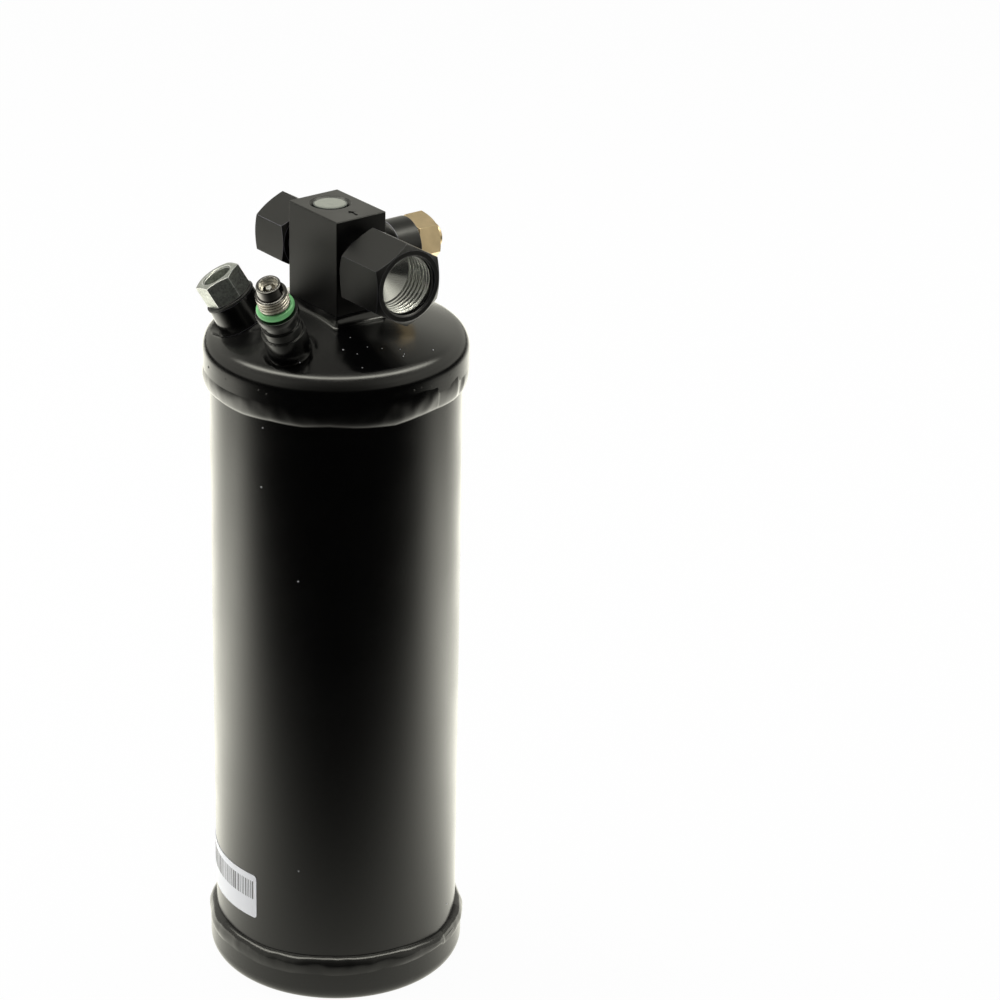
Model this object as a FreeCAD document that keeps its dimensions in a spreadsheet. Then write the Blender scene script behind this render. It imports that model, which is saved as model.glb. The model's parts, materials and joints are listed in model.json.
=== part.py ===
import FreeCAD, Part
import math
import os
import re

import Sketcher
from FreeCAD import Vector

# Filter drier: a welded can with a machined head block on its crown.
# Origin at the middle of the can's flat bottom, +Z up the can, +X towards the inlet,
# -Y towards the service port and the moisture indicator, +Y towards the relief valve.

document = FreeCAD.newDocument("filter_drier")

# Driving sizes in millimetres and degrees

SIZES = [
    ("tube_diameter", 76.2, "outside of the can's tube"),
    ("tube_wall", 1.8, "wall of the tube"),
    ("tube_length", 198.5, "tube from end to end"),
    ("tube_foot_gap", 1, "tube's lower end above the round of the bottom cap"),
    ("cap_wall", 1.8, "wall of both caps"),
    ("cap_slip", 0.1, "clearance round the tube inside a cap"),
    ("bottom_cap_depth", 12.5, "height of the bottom cap"),
    ("bottom_corner", 5, "outside rounding of the bottom cap"),
    ("crown_rise", 13.5, "crown of the top cap above the tube's end"),
    ("crown_sphere", 100, "radius of the domed crown"),
    ("knuckle", 6.2, "outside rounding between crown and skirt"),
    ("top_cap_depth", 17.5, "height of the top cap from skirt to crown"),
    ("top_bead_below", 6.5, "upper weld below the cap's skirt"),
    ("top_bead_above", 2.9, "upper weld above the cap's edge"),
    ("top_bead_crest", 2.5, "upper weld out from the tube"),
    ("bottom_bead_above", 3.7, "lower weld above the cap's edge"),
    ("bottom_bead_below", 2.3, "lower weld below the cap's edge"),
    ("bottom_bead_crest", 2.6, "lower weld out from the tube"),
    ("port_tilt", 28, "lean of the service port from upright"),
    ("port_direction", -62.9, "compass angle of the service port"),
    ("port_inset", 11.33, "port seat's middle inside the cap's rim"),
    ("port_seat", 18.6, "diameter of the port seat"),
    ("port_seat_sink", 0.3, "port seat below the dome"),
    ("indicator_tilt", 30.5, "lean of the indicator from upright"),
    ("indicator_direction", -122.3, "compass angle of the indicator"),
    ("indicator_inset", 13, "indicator seat's middle inside the cap's rim"),
    ("indicator_seat", 20.6, "diameter of the indicator seat"),
    ("indicator_seat_sink", 0.45, "indicator seat below the dome"),
    ("block_length", 24.6, "head block from inlet face to outlet face"),
    ("block_width", 17.6, "head block from front to back"),
    ("block_height", 31.3, "head block above the crown"),
    ("block_offset", 0.6, "head block's middle towards the inlet"),
    ("block_edge", 0.35, "rounding of the block's edges"),
    ("spigot_diameter", 17, "block's spigot through the crown"),
    ("spigot_depth", 3.2, "spigot below the crown"),
    ("fit_gap", 0.1, "clearance round what is brazed or screwed in"),
    ("block_weld_width", 2.1, "foot weld out from the block"),
    ("block_weld_height", 2.2, "foot weld up the block's faces"),
    ("line_height", 17, "axis of both fittings above the crown"),
    ("inlet_hexagon", 22, "inlet fitting across flats"),
    ("inlet_hexagon_length", 19.1, "inlet fitting's hexagon"),
    ("inlet_neck", 16.1, "diameter of the inlet fitting's neck"),
    ("inlet_neck_length", 4.4, "neck between block and hexagon"),
    ("inlet_socket", 14, "inlet fitting's tail in the block"),
    ("inlet_thread_bore", 17.7, "inside thread of the inlet, at its crests"),
    ("inlet_thread_depth", 12, "depth of the inlet thread"),
    ("inlet_lead", 18.6, "mouth of the inlet's lead chamfer"),
    ("outlet_hexagon", 19, "outlet fitting across flats"),
    ("outlet_hexagon_length", 15.1, "outlet fitting's hexagon"),
    ("outlet_neck", 15, "diameter of the outlet fitting's neck"),
    ("outlet_neck_length", 1.9, "neck between block and hexagon"),
    ("outlet_socket", 13, "outlet fitting's tail in the block"),
    ("outlet_thread_bore", 14.6, "inside thread of the outlet, at its crests"),
    ("outlet_thread_depth", 10, "depth of the outlet thread"),
    ("outlet_lead", 16.2, "mouth of the outlet's lead chamfer"),
    ("hexagon_face", 0.97, "face circle of a chamfered hexagon to its flats"),
    ("hexagon_chamfer", 30, "slope of a hexagon's chamfer"),
    ("socket_depth", 4, "fitting tails inside the block"),
    ("line_bore", 7, "flow passage through fittings and block"),
    ("inlet_drop", 4.8, "passage down into the can"),
    ("inlet_drop_offset", 4, "that passage from the block's middle"),
    ("pickup_diameter", 8, "riser tube, outside"),
    ("pickup_wall", 1, "wall of the riser tube"),
    ("pickup_offset", 3.5, "riser from the block's middle, towards the outlet"),
    ("pickup_socket", 10, "riser inside the block, above the crown"),
    ("pickup_foot", 12, "riser's lower end above the can's bottom"),
    ("strainer_diameter", 12, "strainer cup on the riser's foot"),
    ("strainer_length", 14, "strainer cup"),
    ("strainer_low", 8, "strainer's lowest point"),
    ("strainer_wall", 0.6, "wall of the strainer cup"),
    ("sight_bore", 10.3, "bore of the sight glass"),
    ("sight_depth", 5, "depth of that bore"),
    ("sight_countersink", 12.6, "mouth of that bore"),
    ("sight_window", 7.4, "clear opening in the ring"),
    ("sight_ring_sink", 0.2, "ring below the block's top"),
    ("sight_glass_sink", 0.35, "glass rim below the block's top"),
    ("sight_glass_crown", 0.3, "rise of the domed glass"),
    ("sight_seal_height", 1, "seal under the ring"),
    ("port_base", 13, "port's lower collar"),
    ("port_base_length", 9, "lower collar above its seat"),
    ("port_step", 11.8, "port's second collar"),
    ("port_step_end", 12.1, "second collar's end above the seat"),
    ("port_waist", 10.4, "turned waist of the port"),
    ("port_waist_end", 15.4, "waist's end above the seat"),
    ("port_shoulder", 12.7, "port's upper collar"),
    ("port_shoulder_end", 17.5, "upper collar's end above the seat"),
    ("ring_section", 2.1, "thickness of the O-ring"),
    ("ring_seat", 7.26, "neck that the O-ring sits on"),
    ("ring_seat_low", 17.65, "lower end of that neck above the seat"),
    ("port_thread", 9.525, "outside thread of the port, at its crests"),
    ("port_thread_end", 24.5, "thread's end above the seat"),
    ("port_nose", 7.8, "nose over the thread"),
    ("port_tip", 7.3, "nose at its mouth"),
    ("port_lip", 0.35, "rounding of the nose's mouth"),
    ("port_length", 28.3, "port's mouth above its seat"),
    ("port_mouth", 5.5, "bore that holds the core"),
    ("port_bore", 3.6, "bore under the core"),
    ("port_pilot", 8, "port's tail through the cap"),
    ("pilot_depth", 2.4, "tails through the cap below their seats"),
    ("core_top", 26.5, "core's ring above the port seat"),
    ("core_length", 7.6, "core from ring to seat"),
    ("core_bore", 3.7, "inside of the core"),
    ("core_floor", 1.6, "thickness of the core's floor"),
    ("core_bridge", 1.3, "width of the bridge across the core"),
    ("core_bridge_height", 0.8, "thickness of that bridge"),
    ("core_bridge_sink", 1.5, "bridge's top below the ring"),
    ("pin_diameter", 1, "pin through the core"),
    ("pin_gap", 0.2, "clearance round the pin"),
    ("pin_head", 1.7, "head of the pin"),
    ("pin_head_height", 0.7, "thickness of that head"),
    ("pin_head_rise", 0.4, "head above the core's ring"),
    ("pin_travel", 1, "how far the pin presses in"),
    ("pin_seal", 3.1, "sealing disc at the pin's foot"),
    ("pin_seal_height", 1, "thickness of that disc"),
    ("pin_collar", 2.9, "collar that the core spring pushes"),
    ("pin_collar_height", 0.5, "thickness of that collar"),
    ("core_spring_wire", 0.36, "wire of the core spring"),
    ("core_spring_turns", 2.5, "turns of the core spring"),
    ("boss_base", 16.6, "indicator boss at its seat"),
    ("boss_top", 14.8, "indicator boss under the washer"),
    ("boss_height", 8.2, "indicator boss above its seat"),
    ("boss_bore", 10, "thread bore of the boss"),
    ("boss_pilot", 12, "boss's tail through the cap"),
    ("washer_diameter", 15.4, "washer under the plug"),
    ("washer_height", 0.8, "thickness of the washer"),
    ("plug_hexagon", 12.7, "indicator plug across flats"),
    ("plug_height", 7.6, "plug's hexagon"),
    ("plug_chamfer", 18, "slope of the plug's chamfer"),
    ("plug_shank", 7.4, "plug's thread inside the boss"),
    ("plug_window", 8.7, "bore over the glass"),
    ("plug_window_depth", 5.6, "depth of that bore"),
    ("plug_port", 6, "bore under the disc"),
    ("plug_bevel", 0.5, "bevel round the plug's window"),
    ("disc_diameter", 7.4, "moisture disc"),
    ("disc_height", 0.4, "thickness of the moisture disc"),
    ("disc_gap", 0.4, "disc to glass"),
    ("glass_height", 2, "thickness of the indicator glass"),
    ("relief_offset", 3.1, "relief valve from the block's middle"),
    ("relief_height", 16.3, "relief valve's axis above the crown"),
    ("relief_tail", 8, "adapter's tail in the block"),
    ("relief_neck", 11.8, "adapter's neck"),
    ("relief_neck_length", 4.7, "adapter's neck from the block"),
    ("relief_collar", 15.8, "adapter's collar"),
    ("relief_collar_start", 6.5, "full collar from the block"),
    ("relief_collar_end", 14.3, "collar's end from the block"),
    ("relief_thread", 12.4, "valve's thread in the collar"),
    ("relief_thread_length", 7.1, "that thread's length"),
    ("relief_hexagon", 14, "brass hexagon across flats"),
    ("relief_hexagon_length", 7.65, "brass hexagon"),
    ("relief_hexagon_turn", -13.5, "brass hexagon turned on its axis"),
    ("relief_chamber", 8.4, "spring chamber of the relief valve"),
    ("relief_orifice", 3.6, "hole that the poppet closes"),
    ("relief_floor", 1.9, "wall that holds the orifice"),
    ("relief_plug_diameter", 7.9, "discharge plug"),
    ("relief_plug_out", 2.85, "discharge plug out of the hexagon"),
    ("relief_plug_in", 2.75, "discharge plug inside the hexagon"),
    ("relief_plug_bore", 3, "hole through that plug"),
    ("relief_seal_height", 1, "sealing disc on the poppet"),
    ("poppet_diameter", 7.2, "head of the poppet"),
    ("poppet_height", 2, "thickness of that head"),
    ("poppet_stem", 2.4, "stem inside the spring"),
    ("poppet_stem_length", 3, "length of that stem"),
    ("poppet_gap", 0.1, "seal to its seat"),
    ("poppet_travel", 1, "how far the poppet lifts"),
    ("relief_spring_wire", 0.8, "wire of the relief spring"),
    ("relief_spring_turns", 4, "turns of the relief spring"),
    ("charge_gap", 0.3, "clearance of the charge in the tube"),
    ("plate_thickness", 1.2, "sheet of the perforated plates"),
    ("plate_stand", 22, "lower plate above the bottom cap's floor"),
    ("plate_foot_gap", 0.5, "lower plate's skirt inside the cap's round"),
    ("plate_rim", 5, "turned rim of the upper plate"),
    ("plate_hole", 4, "holes in the plates"),
    ("plate_inner_ring", 14, "inner ring of holes from the axis"),
    ("plate_outer_ring", 26, "outer ring of holes from the axis"),
    ("pad_thickness", 5, "felt pads"),
    ("press_spring_diameter", 40, "spring over the charge, outside"),
    ("press_spring_wire", 3, "wire of that spring"),
    ("press_spring_turns", 3.5, "turns of that spring"),
    ("press_spring_length", 38.8, "length of that spring in the can"),
    ("spring_gap", 0.3, "springs to what they push"),
    ("label_low", 24.5, "label's lower edge above the can's bottom"),
    ("label_height", 15, "label's height"),
    ("label_start", -143.4, "compass angle of the label's left edge"),
    ("label_span", 67.7, "angle that the label covers"),
    ("label_thickness", 0.15, "label sheet"),
    ("label_corner", 1.2, "rounding of the label's corners"),
]

sizes = document.addObject("Spreadsheet::Sheet", "sizes")
for row, (alias, value, note) in enumerate(SIZES, start=1):
    sizes.set("A%d" % row, alias)
    sizes.set("B%d" % row, str(value))
    sizes.set("C%d" % row, note)
    sizes.setAlias("B%d" % row, alias)

# Places worked out from the driving sizes, each with a name

PLACES = [
    ("tube_radius", "tube_diameter / 2"),
    ("tube_low", "bottom_corner + tube_foot_gap"),
    ("tube_high", "tube_low + tube_length"),
    ("tube_inside", "tube_radius - tube_wall"),
    ("cap_inside", "tube_radius + cap_slip"),
    ("cap_outside", "cap_inside + cap_wall"),
    ("crown", "tube_high + crown_rise"),
    ("crown_under", "crown - cap_wall"),
    ("sphere_centre", "crown - crown_sphere"),
    ("skirt_low", "crown - top_cap_depth"),
    ("block_top", "crown + block_height"),
    ("line_level", "crown + line_height"),
    ("inlet_face", "block_offset + block_length / 2"),
    ("outlet_face", "block_offset - block_length / 2"),
    ("block_back", "block_width / 2"),
    ("spigot_low", "crown - spigot_depth"),
    ("pickup_across", "block_offset - pickup_offset"),
    ("pickup_high", "crown + pickup_socket"),
    ("relief_across", "block_offset + relief_offset"),
    ("relief_level", "crown + relief_height"),
    ("port_reach", "cap_outside - port_inset"),
    ("port_x", "port_reach * cos(port_direction)"),
    ("port_y", "port_reach * sin(port_direction)"),
    ("port_z", "sphere_centre + sqrt(crown_sphere ^ 2 - port_reach ^ 2) - port_seat_sink"),
    ("indicator_reach", "cap_outside - indicator_inset"),
    ("indicator_x", "indicator_reach * cos(indicator_direction)"),
    ("indicator_y", "indicator_reach * sin(indicator_direction)"),
    ("indicator_z",
     "sphere_centre + sqrt(crown_sphere ^ 2 - indicator_reach ^ 2) - indicator_seat_sink"),
    ("ring_level", "ring_seat_low + ring_section / 2 + fit_gap"),
    ("ring_seat_high", "ring_seat_low + ring_section + 2 * fit_gap"),
    ("core_low", "core_top - core_length"),
    ("core_outside", "port_mouth / 2 - fit_gap"),
    ("core_floor_top", "core_low + core_floor"),
    ("bridge_top", "core_top - core_bridge_sink"),
    ("bridge_low", "bridge_top - core_bridge_height"),
    ("pin_top", "core_top + pin_head_rise"),
    ("pin_seal_top", "core_low - pin_gap"),
    ("pin_collar_top", "bridge_low - pin_gap"),
    ("pin_collar_low", "pin_collar_top - pin_collar_height"),
    ("core_spring_low", "core_floor_top + pin_travel + pin_gap + core_spring_wire / 2"),
    ("core_spring_high", "pin_collar_low - core_spring_wire / 2"),
    ("washer_top", "boss_height + washer_height"),
    ("plug_top", "washer_top + plug_height"),
    ("plug_ledge", "plug_top - plug_window_depth"),
    ("disc_top", "plug_ledge + disc_height"),
    ("glass_low", "disc_top + disc_gap"),
    ("relief_inlet", "relief_collar_end - relief_thread_length"),
    ("relief_seat_level", "relief_inlet + relief_floor"),
    ("relief_hexagon_end", "relief_collar_end + relief_hexagon_length"),
    ("relief_plug_low", "relief_hexagon_end - relief_plug_in"),
    ("poppet_low", "relief_seat_level + poppet_gap + relief_seal_height"),
    ("poppet_high", "poppet_low + poppet_height"),
    ("relief_spring_low", "poppet_high + relief_spring_wire / 2"),
    ("relief_spring_high",
     "relief_plug_low - poppet_travel - spring_gap - relief_spring_wire / 2"),
    ("charge_outside", "tube_inside - charge_gap"),
    ("plate_skirt", "cap_inside - (bottom_corner - cap_wall) - plate_foot_gap"),
    ("lower_plate_top", "cap_wall + plate_stand"),
    ("lower_pad_top", "lower_plate_top + pad_thickness"),
    ("riser_room", "pickup_diameter + 2 * charge_gap"),
    ("press_spring_radius", "press_spring_diameter / 2 - press_spring_wire / 2"),
    ("press_spring_top",
     "sphere_centre + sqrt((crown_sphere - cap_wall) ^ 2 - (press_spring_diameter / 2) ^ 2)"
     " - spring_gap"),
    ("press_spring_high", "press_spring_top - press_spring_wire / 2"),
    ("upper_plate_top", "press_spring_top - press_spring_length"),
    ("press_spring_low", "upper_plate_top + press_spring_wire / 2"),
    ("upper_pad_top", "upper_plate_top - plate_thickness"),
    ("bed_top", "upper_pad_top - pad_thickness"),
]

places = document.addObject("Spreadsheet::Sheet", "places")
outlines = document.addObject("Spreadsheet::Sheet", "outlines")
SIZE_NAMES = {alias for alias, value, note in SIZES}
PLACE_NAMES = {alias for alias, formula in PLACES}


def tied(formula):
    """The formula with each size and place written as a cell of its sheet."""
    def cell(match):
        word = match.group(0)
        if word in SIZE_NAMES:
            return "sizes." + word
        if word in PLACE_NAMES:
            return "places." + word
        return word
    return re.sub(r"[a-z][a-z_0-9]*", cell, formula)


for row, (alias, formula) in enumerate(PLACES, start=1):
    own_cells = re.sub("places[.]", "", tied(formula))
    places.set("A%d" % row, alias)
    places.set("B%d" % row, "=" + own_cells)
    places.setAlias("B%d" % row, alias)
document.recompute()

SAME = 1e-3
BEAD_STEPS = 4
WELD_STEPS = 3
COIL_LENGTHS = 12
MITRED = 1
INNER_HOLES = 6
OUTER_HOLES = 12
SEAT_CLEAR = "knuckle * 2"

nodes = []
outline_rows = 0


def size(alias):
    """A driving size as a number."""
    return sizes.get(alias)


def node(thing, name):
    """Marks a finished piece and names its file."""
    thing.Label = name
    nodes.append(thing)
    return thing


# Frames: an origin, a lean from upright and the compass angle that it leans towards.
# Every turned piece is drawn upright about its own axis and then stood in a frame.

UPRIGHT = (("0", "0", "0"), "0", "0")
BLOCK = (("block_offset", "0", "crown"), "0", "0")
INLET = (("inlet_face", "0", "line_level"), "90", "0")
OUTLET = (("outlet_face", "0", "line_level"), "90", "180")
RELIEF = (("relief_across", "block_back", "relief_level"), "90", "90")
SIGHT = (("pickup_across", "0", "block_top"), "0", "0")
RISER = (("pickup_across", "0", "0"), "0", "0")
PORT = (("port_x", "port_y", "port_z"), "port_tilt", "port_direction")
INDICATOR = (("indicator_x", "indicator_y", "indicator_z"), "indicator_tilt", "indicator_direction")


def stand(thing, frame, shift=("0", "0", "0"), turn="0"):
    """Stands a piece in a frame, shifted in the frame's own axes and turned about its own."""
    (x, y, z), lean, toward = frame
    formula = (
        "create(<<placement>>; create(<<vector>>; {}; {}; {});"
        " create(<<rotation>>; {}; {}; 0))"
        " * create(<<placement>>; create(<<vector>>; {}; {}; {});"
        " create(<<rotation>>; {}; 0; 0))"
    ).format(x, y, z, toward, lean, *shift, turn)
    thing.setExpression("Placement", tied(formula))
    return thing


def outline_cells(points):
    """Writes an outline's points as rows of formulas; gives their cells and values."""
    global outline_rows
    cells = []
    for across, up in points:
        outline_rows += 1
        outlines.set("A%d" % outline_rows, "=" + tied(across))
        outlines.set("B%d" % outline_rows, "=" + tied(up))
        cells.append(("A%d" % outline_rows, "B%d" % outline_rows))
    outlines.recompute()
    values = [(float(outlines.get(a)), float(outlines.get(b))) for a, b in cells]
    return cells, values


def origin_plane(body, role):
    """One of a body's own origin planes."""
    return next(f for f in body.Origin.OriginFeatures if f.Role == role)


def new_sketch(body, role):
    """An empty sketch on a body's origin plane."""
    sketch = body.newObject("Sketcher::SketchObject", body.Name + "_sketch")
    sketch.AttachmentSupport = [(origin_plane(body, role), "")]
    sketch.MapMode = "FlatFace"
    return sketch


def pin_points(sketch, cells, values):
    """Ties the start of every edge of a sketch to its two cells."""
    for edge, ((a, b), (across, up)) in enumerate(zip(cells, values)):
        first = sketch.addConstraint([
            Sketcher.Constraint("DistanceX", -1, 1, edge, 1, across),
            Sketcher.Constraint("DistanceY", -1, 1, edge, 1, up),
        ])[0]
        sketch.setExpression("Constraints[%d]" % first, "outlines." + a)
        sketch.setExpression("Constraints[%d]" % (first + 1), "outlines." + b)


def polygon(sketch, points):
    """A closed outline of straight edges."""
    cells, values = outline_cells(points)
    count = len(points)
    corners = [Vector(across, up, 0) for across, up in values]
    edges = [Part.LineSegment(corners[i], corners[(i + 1) % count]) for i in range(count)]
    sketch.addGeometry(edges, False)
    sketch.addConstraint(
        [Sketcher.Constraint("Coincident", i, 2, (i + 1) % count, 1) for i in range(count)])
    pin_points(sketch, cells, values)


def revolve(body, sketch, angle="360"):
    """Turns a sketch about its upright axis."""
    feature = body.newObject("PartDesign::Revolution", body.Name + "_revolution")
    feature.Profile = sketch
    feature.ReferenceAxis = (sketch, ["V_Axis"])
    feature.setExpression("Angle", tied(angle))
    return feature


def turned(name, points, frame=UPRIGHT, angle="360"):
    """A piece turned from an outline of (radius, height) formulas."""
    body = document.addObject("PartDesign::Body", name)
    sketch = new_sketch(body, "XZ_Plane")
    polygon(sketch, points)
    revolve(body, sketch, angle)
    return stand(body, frame)


def domed(name, radius, foot, crown_level, sphere, knuckle):
    """A round form with a spherical crown and a rounded knuckle."""
    body = document.addObject("PartDesign::Body", name)
    sketch = new_sketch(body, "XZ_Plane")
    edge_level = "{0} - {1} + sqrt(({1}) ^ 2 - ({2}) ^ 2)".format(crown_level, sphere, radius)
    cells, values = outline_cells([
        ("0", foot),
        (radius, foot),
        (radius, edge_level),
        ("0", crown_level),
        ("0", "%s - %s" % (crown_level, sphere)),
    ])
    low_middle, low_side, high_side, top, centre = [Vector(x, y, 0) for x, y in values]
    start = math.atan2(high_side.y - centre.y, high_side.x)
    circle = Part.Circle(centre, Vector(0, 0, 1), top.y - centre.y)
    sketch.addGeometry([
        Part.LineSegment(low_middle, low_side),
        Part.LineSegment(low_side, high_side),
        Part.ArcOfCircle(circle, start, math.pi / 2),
        Part.LineSegment(top, low_middle),
    ], False)
    sketch.addConstraint(
        [Sketcher.Constraint("Coincident", i, 2, (i + 1) % 4, 1) for i in range(4)])
    sketch.addConstraint([
        Sketcher.Constraint("Vertical", 1),
        Sketcher.Constraint("PointOnObject", 2, 3, -2),
        Sketcher.Constraint("PointOnObject", 3, 1, -2),
    ])
    pin_points(sketch, cells[:2], values[:2])
    crown_tie = sketch.addConstraint(Sketcher.Constraint("DistanceY", -1, 1, 3, 1, top.y))
    sketch.setExpression("Constraints[%d]" % crown_tie, "outlines." + cells[3][1])
    sphere_tie = sketch.addConstraint(Sketcher.Constraint("Radius", 2, top.y - centre.y))
    sketch.setExpression("Constraints[%d]" % sphere_tie, tied(sphere))
    revolve(body, sketch)
    return rounded(body, knuckle, [(radius, edge_level)])


def filleted(body, radius, chosen):
    """Rounds the edges of a body for which chosen(edge) is true."""
    document.recompute()
    base = body.Tip
    names = ["Edge%d" % number for number, edge in enumerate(base.Shape.Edges, start=1)
             if chosen(edge)]
    feature = body.newObject("PartDesign::Fillet", body.Name + "_fillet")
    feature.Base = (base, names)
    feature.setExpression("Radius", tied(radius))
    return body


def rounded(body, radius, circles):
    """Rounds the circular edges of a body that lie at (radius, level)."""
    wanted = outline_cells(circles)[1]

    def chosen(edge):
        if edge.Degenerated or not isinstance(edge.Curve, Part.Circle):
            return False
        found = (edge.Curve.Radius, edge.Curve.Center.z)
        return any(math.dist(found, spot) < SAME for spot in wanted)
    return filleted(body, radius, chosen)


def cylinder(name, diameter, low, length, frame=UPRIGHT, across="0"):
    """A plain round form in a frame."""
    thing = document.addObject("Part::Cylinder", name)
    thing.setExpression("Radius", tied("(%s) / 2" % diameter))
    thing.setExpression("Height", tied(length))
    return stand(thing, frame, (across, "0", low))


def bar(name, length, width, low, height, frame):
    """A square-edged form centred on a frame's axis."""
    thing = document.addObject("Part::Box", name)
    thing.setExpression("Length", tied(length))
    thing.setExpression("Width", tied(width))
    thing.setExpression("Height", tied(height))
    return stand(thing, frame, ("-(%s) / 2" % length, "-(%s) / 2" % width, low))


def joined(name, things):
    """One solid from several that meet."""
    thing = document.addObject("Part::MultiFuse", name)
    thing.Shapes = things
    return thing


def shared(name, things):
    """What several forms have in common."""
    thing = document.addObject("Part::MultiCommon", name)
    thing.Shapes = things
    return thing


def cut(name, base, tools):
    """A form less one or more others."""
    thing = document.addObject("Part::Cut", name)
    thing.Base = base
    thing.Tool = tools[0] if len(tools) == 1 else joined(name + "_tools", tools)
    return thing


def hexagon(name, flats, low, length, frame, turn="0", chamfer="hexagon_chamfer"):
    """A hexagonal prism chamfered at both ends."""
    corner = "%s / 2 / cos(30)" % flats
    face = "%s / 2 * hexagon_face" % flats
    slope = "(%s - %s) * tan(%s)" % (corner, face, chamfer)
    high = "%s + %s" % (low, length)
    prism = document.addObject("Part::Prism", name + "_prism")
    prism.Polygon = 6
    prism.setExpression("Circumradius", tied(corner))
    prism.setExpression("Height", tied(length))
    stand(prism, frame, ("0", "0", low), turn)
    cones = turned(name + "_cones", [
        ("0", low),
        (face, low),
        (corner, "%s + %s" % (low, slope)),
        (corner, "%s - %s" % (high, slope)),
        (face, high),
        ("0", high),
    ], frame)
    return shared(name + "_hexagon", [prism, cones])


def coil(name, wire, mean_radius, low, rise, turns, frame=UPRIGHT):
    """A round wire wound into an open helix of short mitred lengths."""
    values = outline_cells([(mean_radius, low), (wire + " / 2", rise), (turns, "0")])[1]
    (reach, bottom), (wire_radius, height) = values[:2]
    turn_count = values[2][0]
    lengths = round(turn_count * COIL_LENGTHS)
    route = []
    for station in range(lengths + 1):
        share = station / lengths
        angle = 2 * math.pi * turn_count * share
        route.append(Vector(
            reach * math.cos(angle), reach * math.sin(angle), bottom + height * share))
    section = Part.Circle(route[0], route[1] - route[0], wire_radius)
    thing = document.addObject("Part::Feature", name)
    thing.Shape = Part.makePolygon(route).makePipeShell(
        [Part.Wire(section.toShape())], True, False, MITRED)
    return stand(thing, frame)


# Can


def bead(name, edge, toward_cap, up_cap, along_tube, crest):
    """A weld on the tube and up the side of a cap; toward_cap is +1 for a cap above."""
    middle = "%s + %d * (%s - %s) / 2" % (edge, toward_cap, up_cap, along_tube)
    half = "%d * (%s + %s) / 2" % (toward_cap, up_cap, along_tube)
    lip = "(cap_outside - tube_radius)"
    rows = [("cap_outside", edge), ("tube_radius", edge)]
    for step in range(-BEAD_STEPS, BEAD_STEPS + 1):
        angle = 90 * step / BEAD_STEPS
        level = "%s + %s * sin(%g)" % (middle, half, angle)
        if step < 0:
            rows.append(("tube_radius + %s * cos(%g)" % (crest, angle), level))
        else:
            rows.append(("cap_outside + (%s - %s) * cos(%g)" % (crest, lip, angle), level))
    return node(turned(name, rows), name)


node(turned("body_tube", [
    ("tube_inside", "tube_low"),
    ("tube_radius", "tube_low"),
    ("tube_radius", "tube_high"),
    ("tube_inside", "tube_high"),
]), "body_tube")

bottom_cap = turned("bottom_cap", [
    ("0", "0"),
    ("cap_outside", "0"),
    ("cap_outside", "bottom_cap_depth"),
    ("cap_inside", "bottom_cap_depth"),
    ("cap_inside", "cap_wall"),
    ("0", "cap_wall"),
])
rounded(bottom_cap, "bottom_corner", [("cap_outside", "0")])
rounded(bottom_cap, "bottom_corner - cap_wall", [("cap_inside", "cap_wall")])
node(bottom_cap, "bottom_cap")

bead("bottom_weld_bead", "bottom_cap_depth", -1,
     "bottom_bead_below", "bottom_bead_above", "bottom_bead_crest")
bead("top_weld_bead", "skirt_low", 1,
     "top_bead_above", "top_bead_below", "top_bead_crest")

# Top cap: a domed shell with two pressed flat seats, each a cup on its low side
# and a raised disc on its high side

dome_outside = domed("dome_outside", "cap_outside", "skirt_low", "crown",
                     "crown_sphere", "knuckle")
dome_inside = domed("dome_inside", "cap_inside", "skirt_low", "crown_under",
                    "(crown_sphere - cap_wall)", "knuckle - cap_wall")


def pressed_seat(name, diameter, pilot, frame):
    """The metal and the cuts of one tilted seat in the cap."""
    rim = cylinder(name + "_rim", diameter + " + 2 * cap_wall", "-cap_wall", SEAT_CLEAR, frame)
    cup = shared(name + "_cup", [rim, dome_outside])
    floor = cylinder(name + "_floor", diameter, "-cap_wall", "cap_wall", frame)
    web = turned(name + "_web", [
        (diameter + " / 2 - cap_wall", "-knuckle"),
        (diameter + " / 2", "-knuckle"),
        (diameter + " / 2", "0"),
        (diameter + " / 2 - cap_wall", "0"),
    ], frame)
    raised = cut(name + "_raised", web, [dome_inside])
    recess = cylinder(name + "_recess", diameter, "0", SEAT_CLEAR, frame)
    hole = cylinder(name + "_hole", pilot + " + 2 * fit_gap", "-knuckle", SEAT_CLEAR, frame)
    return [cup, floor, raised], [recess, hole]


port_metal, port_cuts = pressed_seat("port_seat_form", "port_seat", "port_pilot", PORT)
indicator_metal, indicator_cuts = pressed_seat(
    "indicator_seat_form", "indicator_seat", "boss_pilot", INDICATOR)
dome_shell = cut("dome_shell", dome_outside, [dome_inside])
cap_metal = joined("cap_metal", [dome_shell] + port_metal + indicator_metal)
spigot_hole = cylinder("spigot_hole", "spigot_diameter + 2 * fit_gap",
                       "-knuckle", SEAT_CLEAR, BLOCK)
node(cut("top_cap", cap_metal, port_cuts + indicator_cuts + [spigot_hole]), "top_cap")

# Head block: sockets for both fittings and the relief valve, the passage down into
# the can, and the channel between riser, sight glass and outlet

block_box = document.addObject("PartDesign::Body", "block_box")
block_sketch = new_sketch(block_box, "XY_Plane")
polygon(block_sketch, [
    ("-block_length / 2", "-block_width / 2"),
    ("block_length / 2", "-block_width / 2"),
    ("block_length / 2", "block_width / 2"),
    ("-block_length / 2", "block_width / 2"),
])
block_pad = block_box.newObject("PartDesign::Pad", "block_pad")
block_pad.Profile = block_sketch
block_pad.setExpression("Length", tied("block_height"))
filleted(block_box, "block_edge",
         lambda edge: any(vertex.Z > SAME for vertex in edge.Vertexes))
stand(block_box, BLOCK)
spigot = cylinder("spigot", "spigot_diameter", "-spigot_depth", "spigot_depth", BLOCK)


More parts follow.
